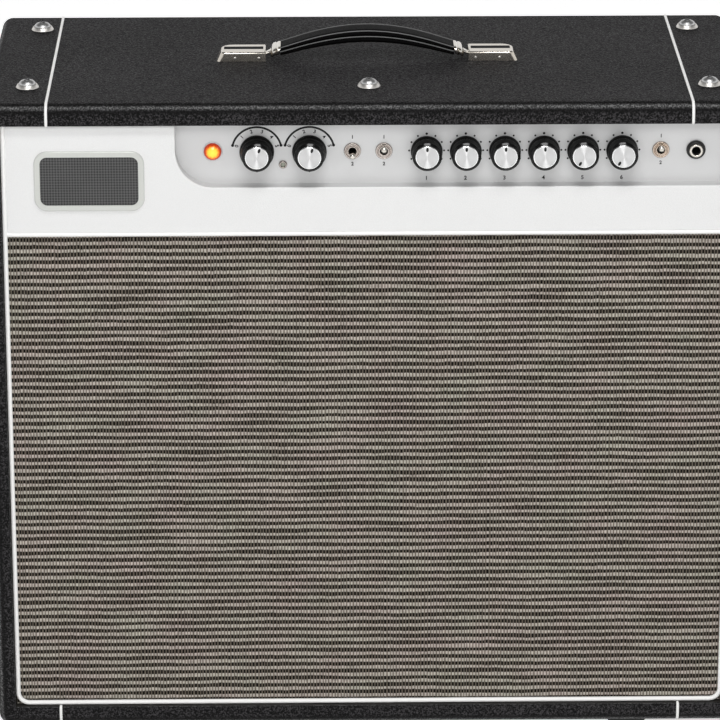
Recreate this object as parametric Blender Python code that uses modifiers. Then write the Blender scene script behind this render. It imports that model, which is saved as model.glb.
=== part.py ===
import math

import bmesh
import bpy
from mathutils import Matrix, Vector

# Cabinet
CABINET_WIDTH = 0.610
CABINET_HEIGHT = 0.530
CABINET_DEPTH = 0.280
SIDE_WALL = 0.014
BOARD = 0.017
EDGE_RADIUS = 0.009
EDGE_SEGMENTS = 3
CLEAT = 0.018
GAP = 0.0003
OVERLAP = 0.0008
MARGIN = 0.01
FOOT_HEIGHT = 0.016
FOOT_RADIUS = 0.019
FOOT_X = 0.215
FOOT_INSET = 0.042

# Front, measured back from the cabinet's front plane
CLOTH_FRONT = 0.0072
CLOTH_THICK = 0.0015
BAFFLE_FRONT = 0.0090
BAFFLE_THICK = 0.018
FASCIA_FRONT = 0.004
FASCIA_THICK = 0.0115
FASCIA_BOTTOM = 0.4248
FASCIA_HALF = 0.2866
FASCIA_ROUND = 0.0015
NOTCH_LEFT = -0.1533
NOTCH_BOTTOM = 0.4613
NOTCH_RADIUS = 0.030
PIPING_RADIUS = 0.0019
PIPING_CORNER = 0.009
PIPING_DEPTH = 0.005
SEAM_X = 0.254
SEAM_RADIUS = 0.0012
SEAM_LIFT = 0.0003

# Control panel and what sits on it
PANEL_FRONT = 0.016
PANEL_THICK = 0.002
PANEL_LEFT = -0.168
PANEL_RIGHT = 0.2862
PANEL_BOTTOM = 0.4553
CONTROL_Z = 0.4877
LAMP_X = -0.1240
ATTENUATOR_X = (-0.0891, -0.0476)
INDICATOR_X = -0.0685
INDICATOR_Z = 0.4768
VOICING_X = (-0.0136, 0.0113)
POT_NAMES = ("presence", "bass", "midrange", "treble", "volume_b", "volume_a")
POT_X = tuple(0.0450 + 0.0309 * i for i in range(len(POT_NAMES)))
CHANNEL_X = 0.2303
JACK_X = 0.2580
KNOB_HEIGHT = 0.019
KNOB_STANDOFF = 0.0015
KNOB_RADIUS = 0.0126
ATTENUATOR_RADIUS = 0.0137
CAP_RADIUS = 0.0108
SHAFT_RADIUS = 0.003
SHAFT_HOLE = 0.0035
SHAFT_LENGTH = 0.013
POT_RADIUS = 0.011
POT_DEPTH = 0.014
LEVER_LENGTH = 0.0145
LEVER_TILT = math.radians(12)
NUT_RADIUS = 0.0066
NUT_HEIGHT = 0.0022
BUSH_HOLE = 0.0036
SWITCH_BODY = 0.013
LAMP_HOLE = 0.0066
JACK_HOLE = 0.0051
JACK_BORE = 0.0033
JACK_RADIUS = 0.0078
JACK_DEPTH = 0.029

# Chassis, folded sheet hung under the top board
CHASSIS_HALF = 0.284
CHASSIS_FRONT = 0.0183
CHASSIS_BACK = CABINET_DEPTH - 0.017
CHASSIS_TOP = CABINET_HEIGHT - BOARD - 0.0004
CHASSIS_BOTTOM = CHASSIS_TOP - 0.0646
SHEET = 0.0016
FLANGE_END = 0.028
FLANGE_FRONT = 0.054
FLANGE_BACK = 0.014
SCREW_SPOTS = {
    "chassis_screw_front_left": (-0.2712, 0.0535),
    "chassis_screw_front_centre": (0.0, 0.0530),
    "chassis_screw_front_right": (0.2712, 0.0535),
    "chassis_screw_rear_left": (-0.2690, 0.2318),
    "chassis_screw_rear_right": (0.2690, 0.2318),
}
SCREW_RADIUS = 0.0024
SCREW_LENGTH = 0.021

# Valves and transformers under the chassis
VALVE_ROW = 0.195
PREAMP_X = (0.130, 0.164, 0.198, 0.232)
POWER_X = (-0.100, -0.046)
PREAMP_RADIUS = 0.0105
PREAMP_LENGTH = 0.052
POWER_RADIUS = 0.0165
POWER_LENGTH = 0.094
SOCKET_HEIGHT = 0.008
SOCKET_WALL = 0.0030
SOCKET_PLAY = 0.0014
MAINS_TRANSFORMER = (-0.200, 0.185, 0.096, 0.052, 0.080)
OUTPUT_TRANSFORMER = (0.045, 0.185, 0.080, 0.044, 0.067)

# Rear of the chassis
REAR_Z = 0.482
POWER_SWITCH_X = -0.160
STANDBY_SWITCH_X = -0.115
INLET_X = -0.225
SPEAKER_JACK_X = 0.060
REAR_PANEL_FRONT = CABINET_DEPTH - 0.014
REAR_PANEL_THICK = 0.012
UPPER_PANEL = (0.358, CHASSIS_BOTTOM - 0.004)
LOWER_PANEL = (0.0174, 0.150)

# Loudspeaker
SPEAKER_Z = 0.212
SPEAKER_STEPS = 24
BAFFLE_HOLE = 0.141
BASKET_RADIUS = 0.152
BASKET_WINDOWS = 8
CONE_RADIUS = 0.1255
COIL_RADIUS = 0.0252
MAGNET_RADIUS = 0.076
MAGNET_FRONT = 0.0903

# Handle
HANDLE_Y = 0.1405
CAP_INNER = 0.0824
CAP_OUTER = 0.1228
CAP_SLOPE = 0.005
CAP_HALF = 0.0130
CAP_HEIGHT = 0.0078
CAP_WALL = 0.0018
CAP_ROOF = 0.0020
CAP_DISH = 0.0009
CAP_SLOT = 0.0095
TONGUE_HALF = 0.008
TONGUE_THICK = 0.0021
FERRULE_GAP = 0.0008
FERRULE_LENGTH = 0.0108
FERRULE_HALF = 0.0130
FERRULE_BOTTOM = 0.0045
FERRULE_TOP = 0.0115
GRIP_HALF_WIDTH = 0.0125
GRIP_END_Z = 0.0079
GRIP_RISE = 0.0133
GRIP_THICK = 0.0088
GRIP_ROUND = 0.0028

KNOB_PROUD = KNOB_HEIGHT + KNOB_STANDOFF - PANEL_FRONT
FRONT = KNOB_PROUD - (KNOB_PROUD + CABINET_DEPTH + SEAM_RADIUS) / 2
INNER_HALF = CABINET_WIDTH / 2 - SIDE_WALL
OPENING_TOP = CABINET_HEIGHT - BOARD
FACING_FRONT = (math.pi / 2, 0.0, 0.0)
FACING_BACK = (-math.pi / 2, 0.0, 0.0)
HANGING = (math.pi, 0.0, 0.0)


def place(x, depth, height):
    return Vector((x, FRONT + depth, FOOT_HEIGHT + height))


for old in list(bpy.data.objects):
    bpy.data.objects.remove(old)

parts = bpy.data.collections.new("valve_combo_amplifier")
cutters = bpy.data.collections.new("cutters")
bpy.context.scene.collection.children.link(parts)
bpy.context.scene.collection.children.link(cutters)


def finish(name, color, roughness, metallic=0.0):
    material = bpy.data.materials.new(name)
    material.use_nodes = True
    shader = material.node_tree.nodes["Principled BSDF"]
    shader.inputs["Base Color"].default_value = (*color, 1.0)
    shader.inputs["Roughness"].default_value = roughness
    shader.inputs["Metallic"].default_value = metallic
    return material


VINYL = ((0.035, 0.035, 0.038), 0.55)
WHITE = ((0.82, 0.82, 0.81), 0.45)
CLOTH = ((0.30, 0.27, 0.24), 0.85)
PLY = ((0.42, 0.30, 0.18), 0.70)
SILVER = ((0.62, 0.62, 0.61), 0.35, 0.9)
NICKEL = ((0.72, 0.71, 0.69), 0.15, 1.0)
STEEL = ((0.55, 0.55, 0.55), 0.35, 1.0)
BLACK = ((0.02, 0.02, 0.02), 0.35)
RUBBER = ((0.025, 0.025, 0.025), 0.85)
PAPER = ((0.05, 0.045, 0.04), 0.90)
AMBER = ((0.90, 0.30, 0.03), 0.15)
GLASS = ((0.75, 0.78, 0.78), 0.05)
PAINTED = ((0.04, 0.04, 0.045), 0.40)


def link(name, data, group, location=(0, 0, 0), rotation=(0, 0, 0)):
    item = bpy.data.objects.new(name, data)
    item.location = location
    item.rotation_euler = rotation
    group.objects.link(item)
    if group == cutters:
        item.hide_render = True
        item.display_type = "WIRE"
    return item


def dress(item, look, smooth=True):
    item.data.materials.append(finish(item.name, *look))
    if smooth and item.type == "MESH":
        item.data.shade_smooth()
        item.data.set_sharp_from_angle(angle=math.radians(35))
    return item


def box_mesh(name, low, high):
    low, high = Vector(low), Vector(high)
    shape = bmesh.new()
    middle = Matrix.Translation((low + high) / 2)
    bmesh.ops.create_cube(shape, size=1.0, matrix=middle @ Matrix.Diagonal((*(high - low), 1.0)))
    mesh = bpy.data.meshes.new(name)
    shape.to_mesh(mesh)
    shape.free()
    return mesh


def box(name, low, high, look, bevel=0.0, segments=2):
    item = link(name, box_mesh(name, low, high), parts)
    dress(item, look, smooth=bevel > 0)
    if bevel:
        soften(item, bevel, segments)
    return item


def soften(item, width, segments=2):
    edge = item.modifiers.new("edge", "BEVEL")
    edge.width = width
    edge.segments = segments
    edge.limit_method = "ANGLE"
    edge.angle_limit = math.radians(40)


def boxes(name, spans):
    shape = bmesh.new()
    for low, high in spans:
        piece = box_mesh(name, low, high)
        shape.from_mesh(piece)
        bpy.data.meshes.remove(piece)
    mesh = bpy.data.meshes.new(name)
    shape.to_mesh(mesh)
    shape.free()
    return link(name, mesh, cutters)


def rods(name, spots, sides=12):
    # each spot: radius, start point, end point
    shape = bmesh.new()
    for radius, start, end in spots:
        start, end = Vector(start), Vector(end)
        along = end - start
        turn = along.to_track_quat("Z", "Y").to_matrix().to_4x4()
        bmesh.ops.create_cone(
            shape,
            cap_ends=True,
            segments=sides,
            radius1=radius,
            radius2=radius,
            depth=along.length,
            matrix=Matrix.Translation((start + end) / 2) @ turn,
        )
    mesh = bpy.data.meshes.new(name)
    shape.to_mesh(mesh)
    shape.free()
    return link(name, mesh, cutters)


def combine(item, other, operation, solver="EXACT"):
    change = item.modifiers.new(other.name, "BOOLEAN")
    change.object = other
    change.operation = operation
    change.solver = solver


def lathe(name, profile, look, location, rotation=(0, 0, 0), steps=18, ring=False):
    mesh = bpy.data.meshes.new(name)
    count = len(profile)
    edges = [(i, i + 1) for i in range(count - 1)]
    if ring:
        edges.append((count - 1, 0))
    mesh.from_pydata([(r, 0.0, z) for r, z in profile], edges, [])
    item = link(name, mesh, parts, location, rotation)
    spin = item.modifiers.new("spin", "SCREW")
    spin.steps = steps
    spin.render_steps = steps
    spin.use_merge_vertices = True
    spin.merge_threshold = 0.00001
    spin.use_smooth_shade = True
    mesh.materials.append(finish(name, *look))
    return item


def path(name, points, radius, group, look=None, sides=2):
    curve = bpy.data.curves.new(name, "CURVE")
    curve.dimensions = "3D"
    curve.bevel_depth = radius
    curve.bevel_resolution = sides
    curve.use_fill_caps = True
    line = curve.splines.new("POLY")
    line.points.add(len(points) - 1)
    for spot, point in zip(line.points, points):
        spot.co = (*point, 1.0)
    item = link(name, curve, group)
    if look:
        curve.materials.append(finish(name, *look))
    return item


def solid(item):
    # a curve made into a welded mesh under the same name
    bpy.context.view_layer.update()
    ready = item.evaluated_get(bpy.context.evaluated_depsgraph_get())
    mesh = bpy.data.meshes.new_from_object(ready)
    shape = bmesh.new()
    shape.from_mesh(mesh)
    bmesh.ops.remove_doubles(shape, verts=shape.verts, dist=0.000005)
    bmesh.ops.recalc_face_normals(shape, faces=shape.faces)
    shape.to_mesh(mesh)
    shape.free()
    name, matrix, group = item.name, item.matrix_world.copy(), item.users_collection[0]
    bpy.data.objects.remove(item)
    done = link(name, mesh, group)
    done.matrix_world = matrix
    return done


def plate(name, outline, depth, look, location, rotation, edge=0.0, rings=1):
    # a flat outline thickened both ways, its rim rounded inward
    curve = bpy.data.curves.new(name, "CURVE")
    curve.dimensions = "2D"
    curve.fill_mode = "BOTH"
    curve.extrude = depth / 2 - edge
    curve.bevel_depth = edge
    curve.bevel_resolution = rings
    curve.offset = -edge
    line = curve.splines.new("POLY")
    line.points.add(len(outline) - 1)
    for spot, (u, v) in zip(line.points, outline):
        spot.co = (u, v, 0.0, 1.0)
    line.use_cyclic_u = True
    curve.materials.append(finish(name, *look))
    return link(name, curve, parts, location, rotation)


def arc(centre, radius, start, end, count):
    for i in range(count + 1):
        angle = math.radians(start + (end - start) * i / count)
        yield centre[0] + radius * math.cos(angle), centre[1] + radius * math.sin(angle)


# Cabinet shell: four boards as one vinyl-covered tube with softened edges and cleats inside
shell = box(
    "cabinet_shell",
    place(-CABINET_WIDTH / 2, 0, 0),
    place(CABINET_WIDTH / 2, CABINET_DEPTH, CABINET_HEIGHT),
    VINYL,
    EDGE_RADIUS,
    EDGE_SEGMENTS,
)
hollow = boxes(
    "cabinet_hollow",
    [(place(-INNER_HALF, -MARGIN, BOARD), place(INNER_HALF, CABINET_DEPTH + MARGIN, OPENING_TOP))],
)
combine(shell, hollow, "DIFFERENCE")
baffle_back = BAFFLE_FRONT + BAFFLE_THICK
cleat_spans = []
for side in (-1, 1):
    ends = sorted((side * (INNER_HALF - CLEAT), side * (INNER_HALF + 0.001)))
    for near, far in (
        (baffle_back + GAP, baffle_back + CLEAT),
        (REAR_PANEL_FRONT - CLEAT, REAR_PANEL_FRONT - GAP),
    ):
        cleat_spans.append((place(ends[0], near, BOARD - 0.001), place(ends[1], far, UPPER_PANEL[1])))
combine(shell, boxes("cleats", cleat_spans), "UNION")


def seam_path(x, level, sign, reach, lift=0.0):
    # over one board of the cabinet, from the front opening round to the back opening
    edge = level - sign * EDGE_RADIUS
    inner = level - sign * (BOARD + reach)
    radius = EDGE_RADIUS + lift
    yield place(x, -lift, inner)
    for i in range(EDGE_SEGMENTS + 1):
        angle = math.pi / 2 * i / EDGE_SEGMENTS
        yield place(x, EDGE_RADIUS - radius * math.cos(angle), edge + sign * radius * math.sin(angle))
    for i in range(EDGE_SEGMENTS, -1, -1):
        angle = math.pi / 2 * i / EDGE_SEGMENTS
        y = CABINET_DEPTH - EDGE_RADIUS + radius * math.cos(angle)
        yield place(x, y, edge + sign * radius * math.sin(angle))
    yield place(x, CABINET_DEPTH + lift, inner)


for label, level, sign in (("top", CABINET_HEIGHT, 1), ("bottom", 0.0, -1)):
    for side_name, x in (("left", -SEAM_X), ("right", SEAM_X)):
        name = f"cabinet_piping_{label}_{side_name}"
        path(name, list(seam_path(x, level, sign, -GAP)), SEAM_RADIUS, parts, WHITE, sides=1)
        groove = path(
            f"groove_{label}_{side_name}",
            list(seam_path(x, level, sign, 0.002, SEAM_LIFT)),
            SEAM_RADIUS + GAP + SEAM_LIFT,
            cutters,
            sides=1,
        )
        combine(shell, solid(groove), "DIFFERENCE", "MANIFOLD")

# Feet
for end_name, y in (("front", FOOT_INSET), ("rear", CABINET_DEPTH - FOOT_INSET)):
    for side_name, x in (("left", -FOOT_X), ("right", FOOT_X)):
        top = FOOT_HEIGHT - GAP
        lathe(
            f"foot_{end_name}_{side_name}",
            [
                (0.0, top),
                (FOOT_RADIUS, top),
                (FOOT_RADIUS, top - 0.003),
                (FOOT_RADIUS * 0.84, 0.0015),
                (FOOT_RADIUS * 0.78, 0.0),
                (0.0055, 0.0),
                (0.0055, 0.008),
                (0.0, 0.008),
            ],
            RUBBER,
            (x, FRONT + y, 0.0),
            steps=12,
        )

# Baffle with its round hole and a thinner lip that carries the fascia
baffle = box(
    "baffle_board",
    place(-INNER_HALF + 2 * GAP, BAFFLE_FRONT, BOARD + GAP),
    place(INNER_HALF - 2 * GAP, baffle_back, FASCIA_BOTTOM - 0.0007),
    PLY,
)
lip = boxes(
    "baffle_lip",
    [
        (
            place(-INNER_HALF + 2 * GAP, FASCIA_FRONT + FASCIA_THICK + GAP, FASCIA_BOTTOM - 0.005),
            place(INNER_HALF - 2 * GAP, baffle_back, CHASSIS_BOTTOM - 0.002),
        )
    ],
)
combine(baffle, lip, "UNION")
hole = rods(
    "baffle_hole",
    [(BAFFLE_HOLE, place(0, BAFFLE_FRONT - MARGIN, SPEAKER_Z), place(0, baffle_back + MARGIN, SPEAKER_Z))],
    sides=40,
)
combine(baffle, hole, "DIFFERENCE")

# Grille cloth, stretched over the front of the baffle
box(
    "grille_cloth",
    place(-INNER_HALF + 2 * GAP, CLOTH_FRONT, BOARD + GAP),
    place(INNER_HALF - 2 * GAP, CLOTH_FRONT + CLOTH_THICK, FASCIA_BOTTOM - 0.0007),
    CLOTH,
)

# Fascia with the notch that shows the controls
fascia_top = OPENING_TOP - GAP
fascia_outline = [
    (-FASCIA_HALF, FASCIA_BOTTOM),
    (FASCIA_HALF, FASCIA_BOTTOM),
    (FASCIA_HALF, NOTCH_BOTTOM),
]
notch_centre = (NOTCH_LEFT + NOTCH_RADIUS, NOTCH_BOTTOM + NOTCH_RADIUS)
fascia_outline.extend(arc(notch_centre, NOTCH_RADIUS, 270, 180, 8))
fascia_outline.append((NOTCH_LEFT, fascia_top))
fascia_outline.append((-FASCIA_HALF, fascia_top))
plate(
    "fascia_panel",
    fascia_outline,
    FASCIA_THICK,
    WHITE,
    place(0, FASCIA_FRONT + FASCIA_THICK / 2, 0),
    FACING_FRONT,
    FASCIA_ROUND,
)

# Piping round the front opening and under the fascia
bead_x = INNER_HALF - GAP - PIPING_RADIUS
bead_z = BOARD + GAP + PIPING_RADIUS
bead = [(-bead_x, fascia_top)]
bead.extend(arc((-bead_x + PIPING_CORNER, bead_z + PIPING_CORNER), PIPING_CORNER, 180, 270, 5))
bead.extend(arc((bead_x - PIPING_CORNER, bead_z + PIPING_CORNER), PIPING_CORNER, 270, 360, 5))
bead.append((bead_x, fascia_top))
path("front_piping", [place(x, PIPING_DEPTH, z) for x, z in bead], PIPING_RADIUS, parts, WHITE)
fascia_bead_z = FASCIA_BOTTOM - GAP - PIPING_RADIUS * 0.9
path(
    "fascia_piping",
    [place(-FASCIA_HALF, PIPING_DEPTH, fascia_bead_z), place(FASCIA_HALF, PIPING_DEPTH, fascia_bead_z)],
    PIPING_RADIUS * 0.9,
    parts,
    WHITE,
)

# Rear panels, the open back between them
for name, (low, high) in (("upper_rear_panel", UPPER_PANEL), ("lower_rear_panel", LOWER_PANEL)):
    box(
        name,
        place(-INNER_HALF + 2 * GAP, REAR_PANEL_FRONT, low),
        place(INNER_HALF - 2 * GAP, REAR_PANEL_FRONT + REAR_PANEL_THICK, high),
        VINYL,
        0.002,
    )

# Chassis: a sheet tray with turned-in top flanges, sockets, pot cases and switch cases
chassis = box(
    "chassis",
    place(-CHASSIS_HALF, CHASSIS_FRONT, CHASSIS_BOTTOM),
    place(CHASSIS_HALF, CHASSIS_BACK, CHASSIS_TOP),
    STEEL,
)
tray = boxes(
    "chassis_tray",
    [
        (
            place(-CHASSIS_HALF + SHEET, CHASSIS_FRONT + SHEET, CHASSIS_BOTTOM + SHEET),
            place(CHASSIS_HALF - SHEET, CHASSIS_BACK - SHEET, CHASSIS_TOP - SHEET),
        )
    ],
)
combine(chassis, tray, "DIFFERENCE")
mouth = boxes(
    "chassis_mouth",
    [
        (
            place(-CHASSIS_HALF + FLANGE_END, CHASSIS_FRONT + FLANGE_FRONT, CHASSIS_TOP - MARGIN),
            place(CHASSIS_HALF - FLANGE_END, CHASSIS_BACK - FLANGE_BACK, CHASSIS_TOP + MARGIN),
        )
    ],
)
combine(chassis, mouth, "DIFFERENCE")
wall_inside = CHASSIS_FRONT + SHEET
rear_inside = CHASSIS_BACK - SHEET
turned_x = ATTENUATOR_X + POT_X
lever_x = VOICING_X + (CHANNEL_X,)
rear_lever_x = (POWER_SWITCH_X, STANDBY_SWITCH_X)
valves = [(x, PREAMP_RADIUS) for x in PREAMP_X] + [(x, POWER_RADIUS) for x in POWER_X]
cases = [
    (POT_RADIUS, place(x, wall_inside - OVERLAP, CONTROL_Z), place(x, wall_inside + POT_DEPTH, CONTROL_Z))
    for x in turned_x
]
for x, radius in valves:
    cases.append(
        (
            radius + SOCKET_PLAY + SOCKET_WALL,
            place(x, VALVE_ROW, CHASSIS_BOTTOM + OVERLAP),
            place(x, VALVE_ROW, CHASSIS_BOTTOM - SOCKET_HEIGHT),
        )
    )
for x in rear_lever_x:
    cases.append(
        (
            NUT_RADIUS,
            place(x, CHASSIS_BACK - OVERLAP, REAR_Z),
            place(x, CHASSIS_BACK + NUT_HEIGHT, REAR_Z),
        )
    )
combine(chassis, rods("chassis_cases", cases, sides=10), "UNION")
half = SWITCH_BODY / 2
switch_cases = [
    (
        place(x - half, wall_inside - OVERLAP, CONTROL_Z - half),
        place(x + half, wall_inside + SWITCH_BODY, CONTROL_Z + half),
    )
    for x in lever_x
]
for x in rear_lever_x:
    switch_cases.append(
        (
            place(x - half, rear_inside - SWITCH_BODY, REAR_Z - half),
            place(x + half, rear_inside + OVERLAP, REAR_Z + half),
        )
    )
combine(chassis, boxes("switch_cases", switch_cases), "UNION")
bores = [
    (SHAFT_HOLE, place(x, CHASSIS_FRONT - MARGIN, CONTROL_Z), place(x, wall_inside + POT_DEPTH - 0.002, CONTROL_Z))
    for x in turned_x
]
for x in lever_x:
    bores.append(
        (BUSH_HOLE, place(x, CHASSIS_FRONT - MARGIN, CONTROL_Z), place(x, wall_inside + 0.009, CONTROL_Z))
    )
for x in rear_lever_x:
    bores.append((BUSH_HOLE, place(x, CHASSIS_BACK + MARGIN, REAR_Z), place(x, rear_inside - 0.009, REAR_Z)))
for x, radius in valves:
    bores.append(
        (
            radius + SOCKET_PLAY,
            place(x, VALVE_ROW, CHASSIS_BOTTOM - 0.02),
            place(x, VALVE_ROW, CHASSIS_BOTTOM + 0.02),
        )
    )
bores.append((LAMP_HOLE, place(LAMP_X, CHASSIS_FRONT - MARGIN, CONTROL_Z), place(LAMP_X, 0.03, CONTROL_Z)))
bores.append((JACK_HOLE, place(JACK_X, CHASSIS_FRONT - MARGIN, CONTROL_Z), place(JACK_X, 0.03, CONTROL_Z)))
bores.append(
    (
        JACK_HOLE,
        place(SPEAKER_JACK_X, CHASSIS_BACK - MARGIN, REAR_Z),
        place(SPEAKER_JACK_X, CHASSIS_BACK + MARGIN, REAR_Z),
    )
)
combine(chassis, rods("chassis_bores", bores, sides=10), "DIFFERENCE")

# Screws through the top board into the chassis flanges
screw_holes = rods(
    "screw_holes",
    [
        (
            SCREW_RADIUS + 2 * GAP,
            place(x, y, CABINET_HEIGHT + MARGIN),
            place(x, y, CHASSIS_TOP - MARGIN),
        )
        for x, y in SCREW_SPOTS.values()
    ],
    sides=8,
)
combine(shell, screw_holes, "DIFFERENCE")
combine(chassis, screw_holes, "DIFFERENCE")
for name, (x, y) in SCREW_SPOTS.items():
    lathe(
        name,
        [
            (0.0, 0.0068),
            (0.0040, 0.0062),
            (0.0066, 0.0042),
            (0.0074, 0.0026),
            (0.0092, 0.0004),
            (0.0092, 0.0),
            (SCREW_RADIUS, 0.0),
            (SCREW_RADIUS, -SCREW_LENGTH),
            (0.0, -SCREW_LENGTH - 0.0015),
        ],
        NICKEL,
        place(x, y, CABINET_HEIGHT + GAP),
        steps=12,
    )

# Control panel with dress nuts for the switches and a small indicator lens
panel = box(
    "control_panel",
    place(PANEL_LEFT, PANEL_FRONT, PANEL_BOTTOM),
    place(PANEL_RIGHT, PANEL_FRONT + PANEL_THICK, CHASSIS_TOP),
    SILVER,
)
fittings = [
    (
        NUT_RADIUS,
        place(x, PANEL_FRONT + 0.001, CONTROL_Z),
        place(x, PANEL_FRONT - NUT_HEIGHT, CONTROL_Z),
    )
    for x in lever_x
]
fittings.append(
    (
        0.0027,
        place(INDICATOR_X, PANEL_FRONT + 0.001, INDICATOR_Z),
        place(INDICATOR_X, PANEL_FRONT - 0.0025, INDICATOR_Z),
    )
)
combine(panel, rods("panel_fittings", fittings), "UNION")
panel_bores = [(SHAFT_HOLE, x) for x in turned_x] + [(BUSH_HOLE, x) for x in lever_x]
panel_bores += [(LAMP_HOLE, LAMP_X), (JACK_HOLE, JACK_X)]
combine(
    panel,
    rods(
        "panel_bores",
        [(radius, place(x, 0.0, CONTROL_Z), place(x, 0.03, CONTROL_Z)) for radius, x in panel_bores],
        sides=10,
    ),
    "DIFFERENCE",
)

# Pilot lamp: a shouldered bezel with a domed jewel in its cup
lathe(
    "pilot_bezel",
    [
        (0.0, 0.0006),
        (0.0070, 0.0006),
        (0.0070, 0.0030),
        (0.0082, 0.0030),
        (0.0086, 0.0020),
        (0.0086, 0.0),
        (0.0060, 0.0),
        (0.0060, -0.012),
        (0.0, -0.012),
    ],
    NICKEL,
    place(LAMP_X, PANEL_FRONT - GAP, CONTROL_Z),
    FACING_FRONT,
    steps=12,
)
lathe(
    "pilot_jewel",
    [
        (0.0, 0.0070),
        (0.0026, 0.0066),
        (0.0048, 0.0055),
        (0.0062, 0.0038),
        (0.0067, 0.0020),
        (0.0067, 0.0),
        (0.0, 0.0),
    ],
    AMBER,
    place(LAMP_X, PANEL_FRONT - GAP - 0.0006 - GAP, CONTROL_Z),
    FACING_FRONT,
    steps=12,
)


def jack(name, location, rotation):
    lathe(
        name,
        [
            (0.0, 0.0048 - JACK_DEPTH),
            (JACK_BORE, 0.0048 - JACK_DEPTH),
            (JACK_BORE, 0.0040),
            (JACK_BORE + 0.0006, 0.0048),
            (JACK_RADIUS - 0.0012, 0.0048),
            (JACK_RADIUS, 0.0034),
            (JACK_RADIUS, 0.0),
            (0.0046, 0.0),
            (0.0046, -0.0048),
            (0.0095, -0.0048),
            (0.0095, -0.026),
            (0.0, -0.026),
        ],
        BLACK,
        location,
        rotation,
        steps=12,
    )


jack("input_jack", place(JACK_X, PANEL_FRONT - GAP, CONTROL_Z), FACING_FRONT)
jack("speaker_jack", place(SPEAKER_JACK_X, CHASSIS_BACK + GAP, REAR_Z), FACING_BACK)


def knob_profile(radius, shaft):
    skirt = [
        (0.0, KNOB_HEIGHT - 0.0003),
        (CAP_RADIUS - 0.0012, KNOB_HEIGHT),
        (CAP_RADIUS, KNOB_HEIGHT - 0.0010),
        (CAP_RADIUS + 0.0008, 0.0050),
        (radius - 0.0004, 0.0036),
        (radius, 0.0008),
        (radius - 0.0006, 0.0),
    ]
    if shaft:
        return skirt + [(SHAFT_RADIUS, 0.0), (SHAFT_RADIUS, -SHAFT_LENGTH), (0.0, -SHAFT_LENGTH)]
    return skirt + [(SHAFT_HOLE, 0.0), (SHAFT_HOLE, 0.011), (0.0, 0.011)]


knob_y = PANEL_FRONT - KNOB_STANDOFF
for label, x in zip(("b", "a"), ATTENUATOR_X):
    lathe(
        f"attenuator_{label}_knob",
        knob_profile(ATTENUATOR_RADIUS, True),
        BLACK,
        place(x, knob_y, CONTROL_Z),
        FACING_FRONT,
    )
for label, x in zip(POT_NAMES, POT_X):
    pulled = label.startswith("volume")
    lathe(
        f"{label}_knob",
        knob_profile(KNOB_RADIUS, not pulled),
        BLACK,
        place(x, knob_y, CONTROL_Z),
        FACING_FRONT,
    )
    if pulled:
        lathe(
            f"{label}_plunger",
            [
                (0.0, 0.0105),
                (SHAFT_RADIUS - 0.0004, 0.0105),
                (SHAFT_RADIUS, 0.0100),
                (SHAFT_RADIUS, -SHAFT_LENGTH),
                (0.0, -SHAFT_LENGTH),
            ],
            STEEL,
            place(x, knob_y, CONTROL_Z),
            FACING_FRONT,
            steps=12,
        )


def lever(name, location, lean):
    lathe(
        name,
        [
            (0.0, LEVER_LENGTH),
            (0.0017, LEVER_LENGTH - 0.0005),
            (0.0023, LEVER_LENGTH - 0.0020),
            (0.0019, LEVER_LENGTH - 0.0065),
            (0.0013, 0.0040),
            (0.0020, 0.0010),
            (0.0016, -0.0010),
            (0.0, -0.0016),
        ],
        NICKEL,
        location,
        (lean, 0.0, 0.0),
        steps=10,
    )


pivot_depth = wall_inside + 0.0010
lever("voicing_b_lever", place(VOICING_X[0], pivot_depth, CONTROL_Z), math.pi / 2 + LEVER_TILT)
lever("voicing_a_lever", place(VOICING_X[1], pivot_depth, CONTROL_Z), math.pi / 2 - LEVER_TILT)
lever("channel_lever", place(CHANNEL_X, pivot_depth, CONTROL_Z), math.pi / 2 - LEVER_TILT)
rear_pivot = rear_inside - 0.0010
for name, x in (("power_switch_lever", POWER_SWITCH_X), ("standby_switch_lever", STANDBY_SWITCH_X)):
    lever(name, place(x, rear_pivot, REAR_Z), -math.pi / 2 + LEVER_TILT)

# Mains inlet: a flanged moulding with a keyed socket, three blades and a fuse drawer beside it
inlet_back = CHASSIS_BACK + GAP
inlet = box(
    "mains_inlet",
    place(INLET_X - 0.025, inlet_back, REAR_Z - 0.014),
    place(INLET_X + 0.025, inlet_back + 0.0025, REAR_Z + 0.014),
    BLACK,
    0.0012,
)
moulding = boxes(
    "inlet_moulding",
    [
        (
            place(INLET_X - 0.0235, inlet_back - 0.022, REAR_Z - 0.0115),
            place(INLET_X + 0.0235, inlet_back + OVERLAP, REAR_Z + 0.0115),
        )
    ],
)
combine(inlet, moulding, "UNION")
socket = boxes(
    "inlet_socket",
    [
        (
            place(INLET_X - 0.0225, inlet_back - 0.016, REAR_Z - 0.008),
            place(INLET_X + 0.0015, inlet_back + MARGIN, REAR_Z + 0.008),
        )
    ],
)
combine(inlet, socket, "DIFFERENCE")
blades = [
    (
        place(INLET_X - 0.0105 + dx - 0.001, inlet_back - 0.017, REAR_Z + dz - 0.002),
        place(INLET_X - 0.0105 + dx + 0.001, inlet_back - 0.004, REAR_Z + dz + 0.002),
    )
    for dx, dz in ((-0.007, -0.0025), (0.0, 0.0045), (0.007, -0.0025))
]
combine(inlet, boxes("inlet_blades", blades), "UNION")
drawer = boxes(
    "fuse_drawer",
    [
        (
            place(INLET_X + 0.006, inlet_back + 0.001, REAR_Z - 0.0075),
            place(INLET_X + 0.0215, inlet_back + 0.0045, REAR_Z + 0.0075),
        )
    ],
)
combine(inlet, drawer, "UNION")
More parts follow.
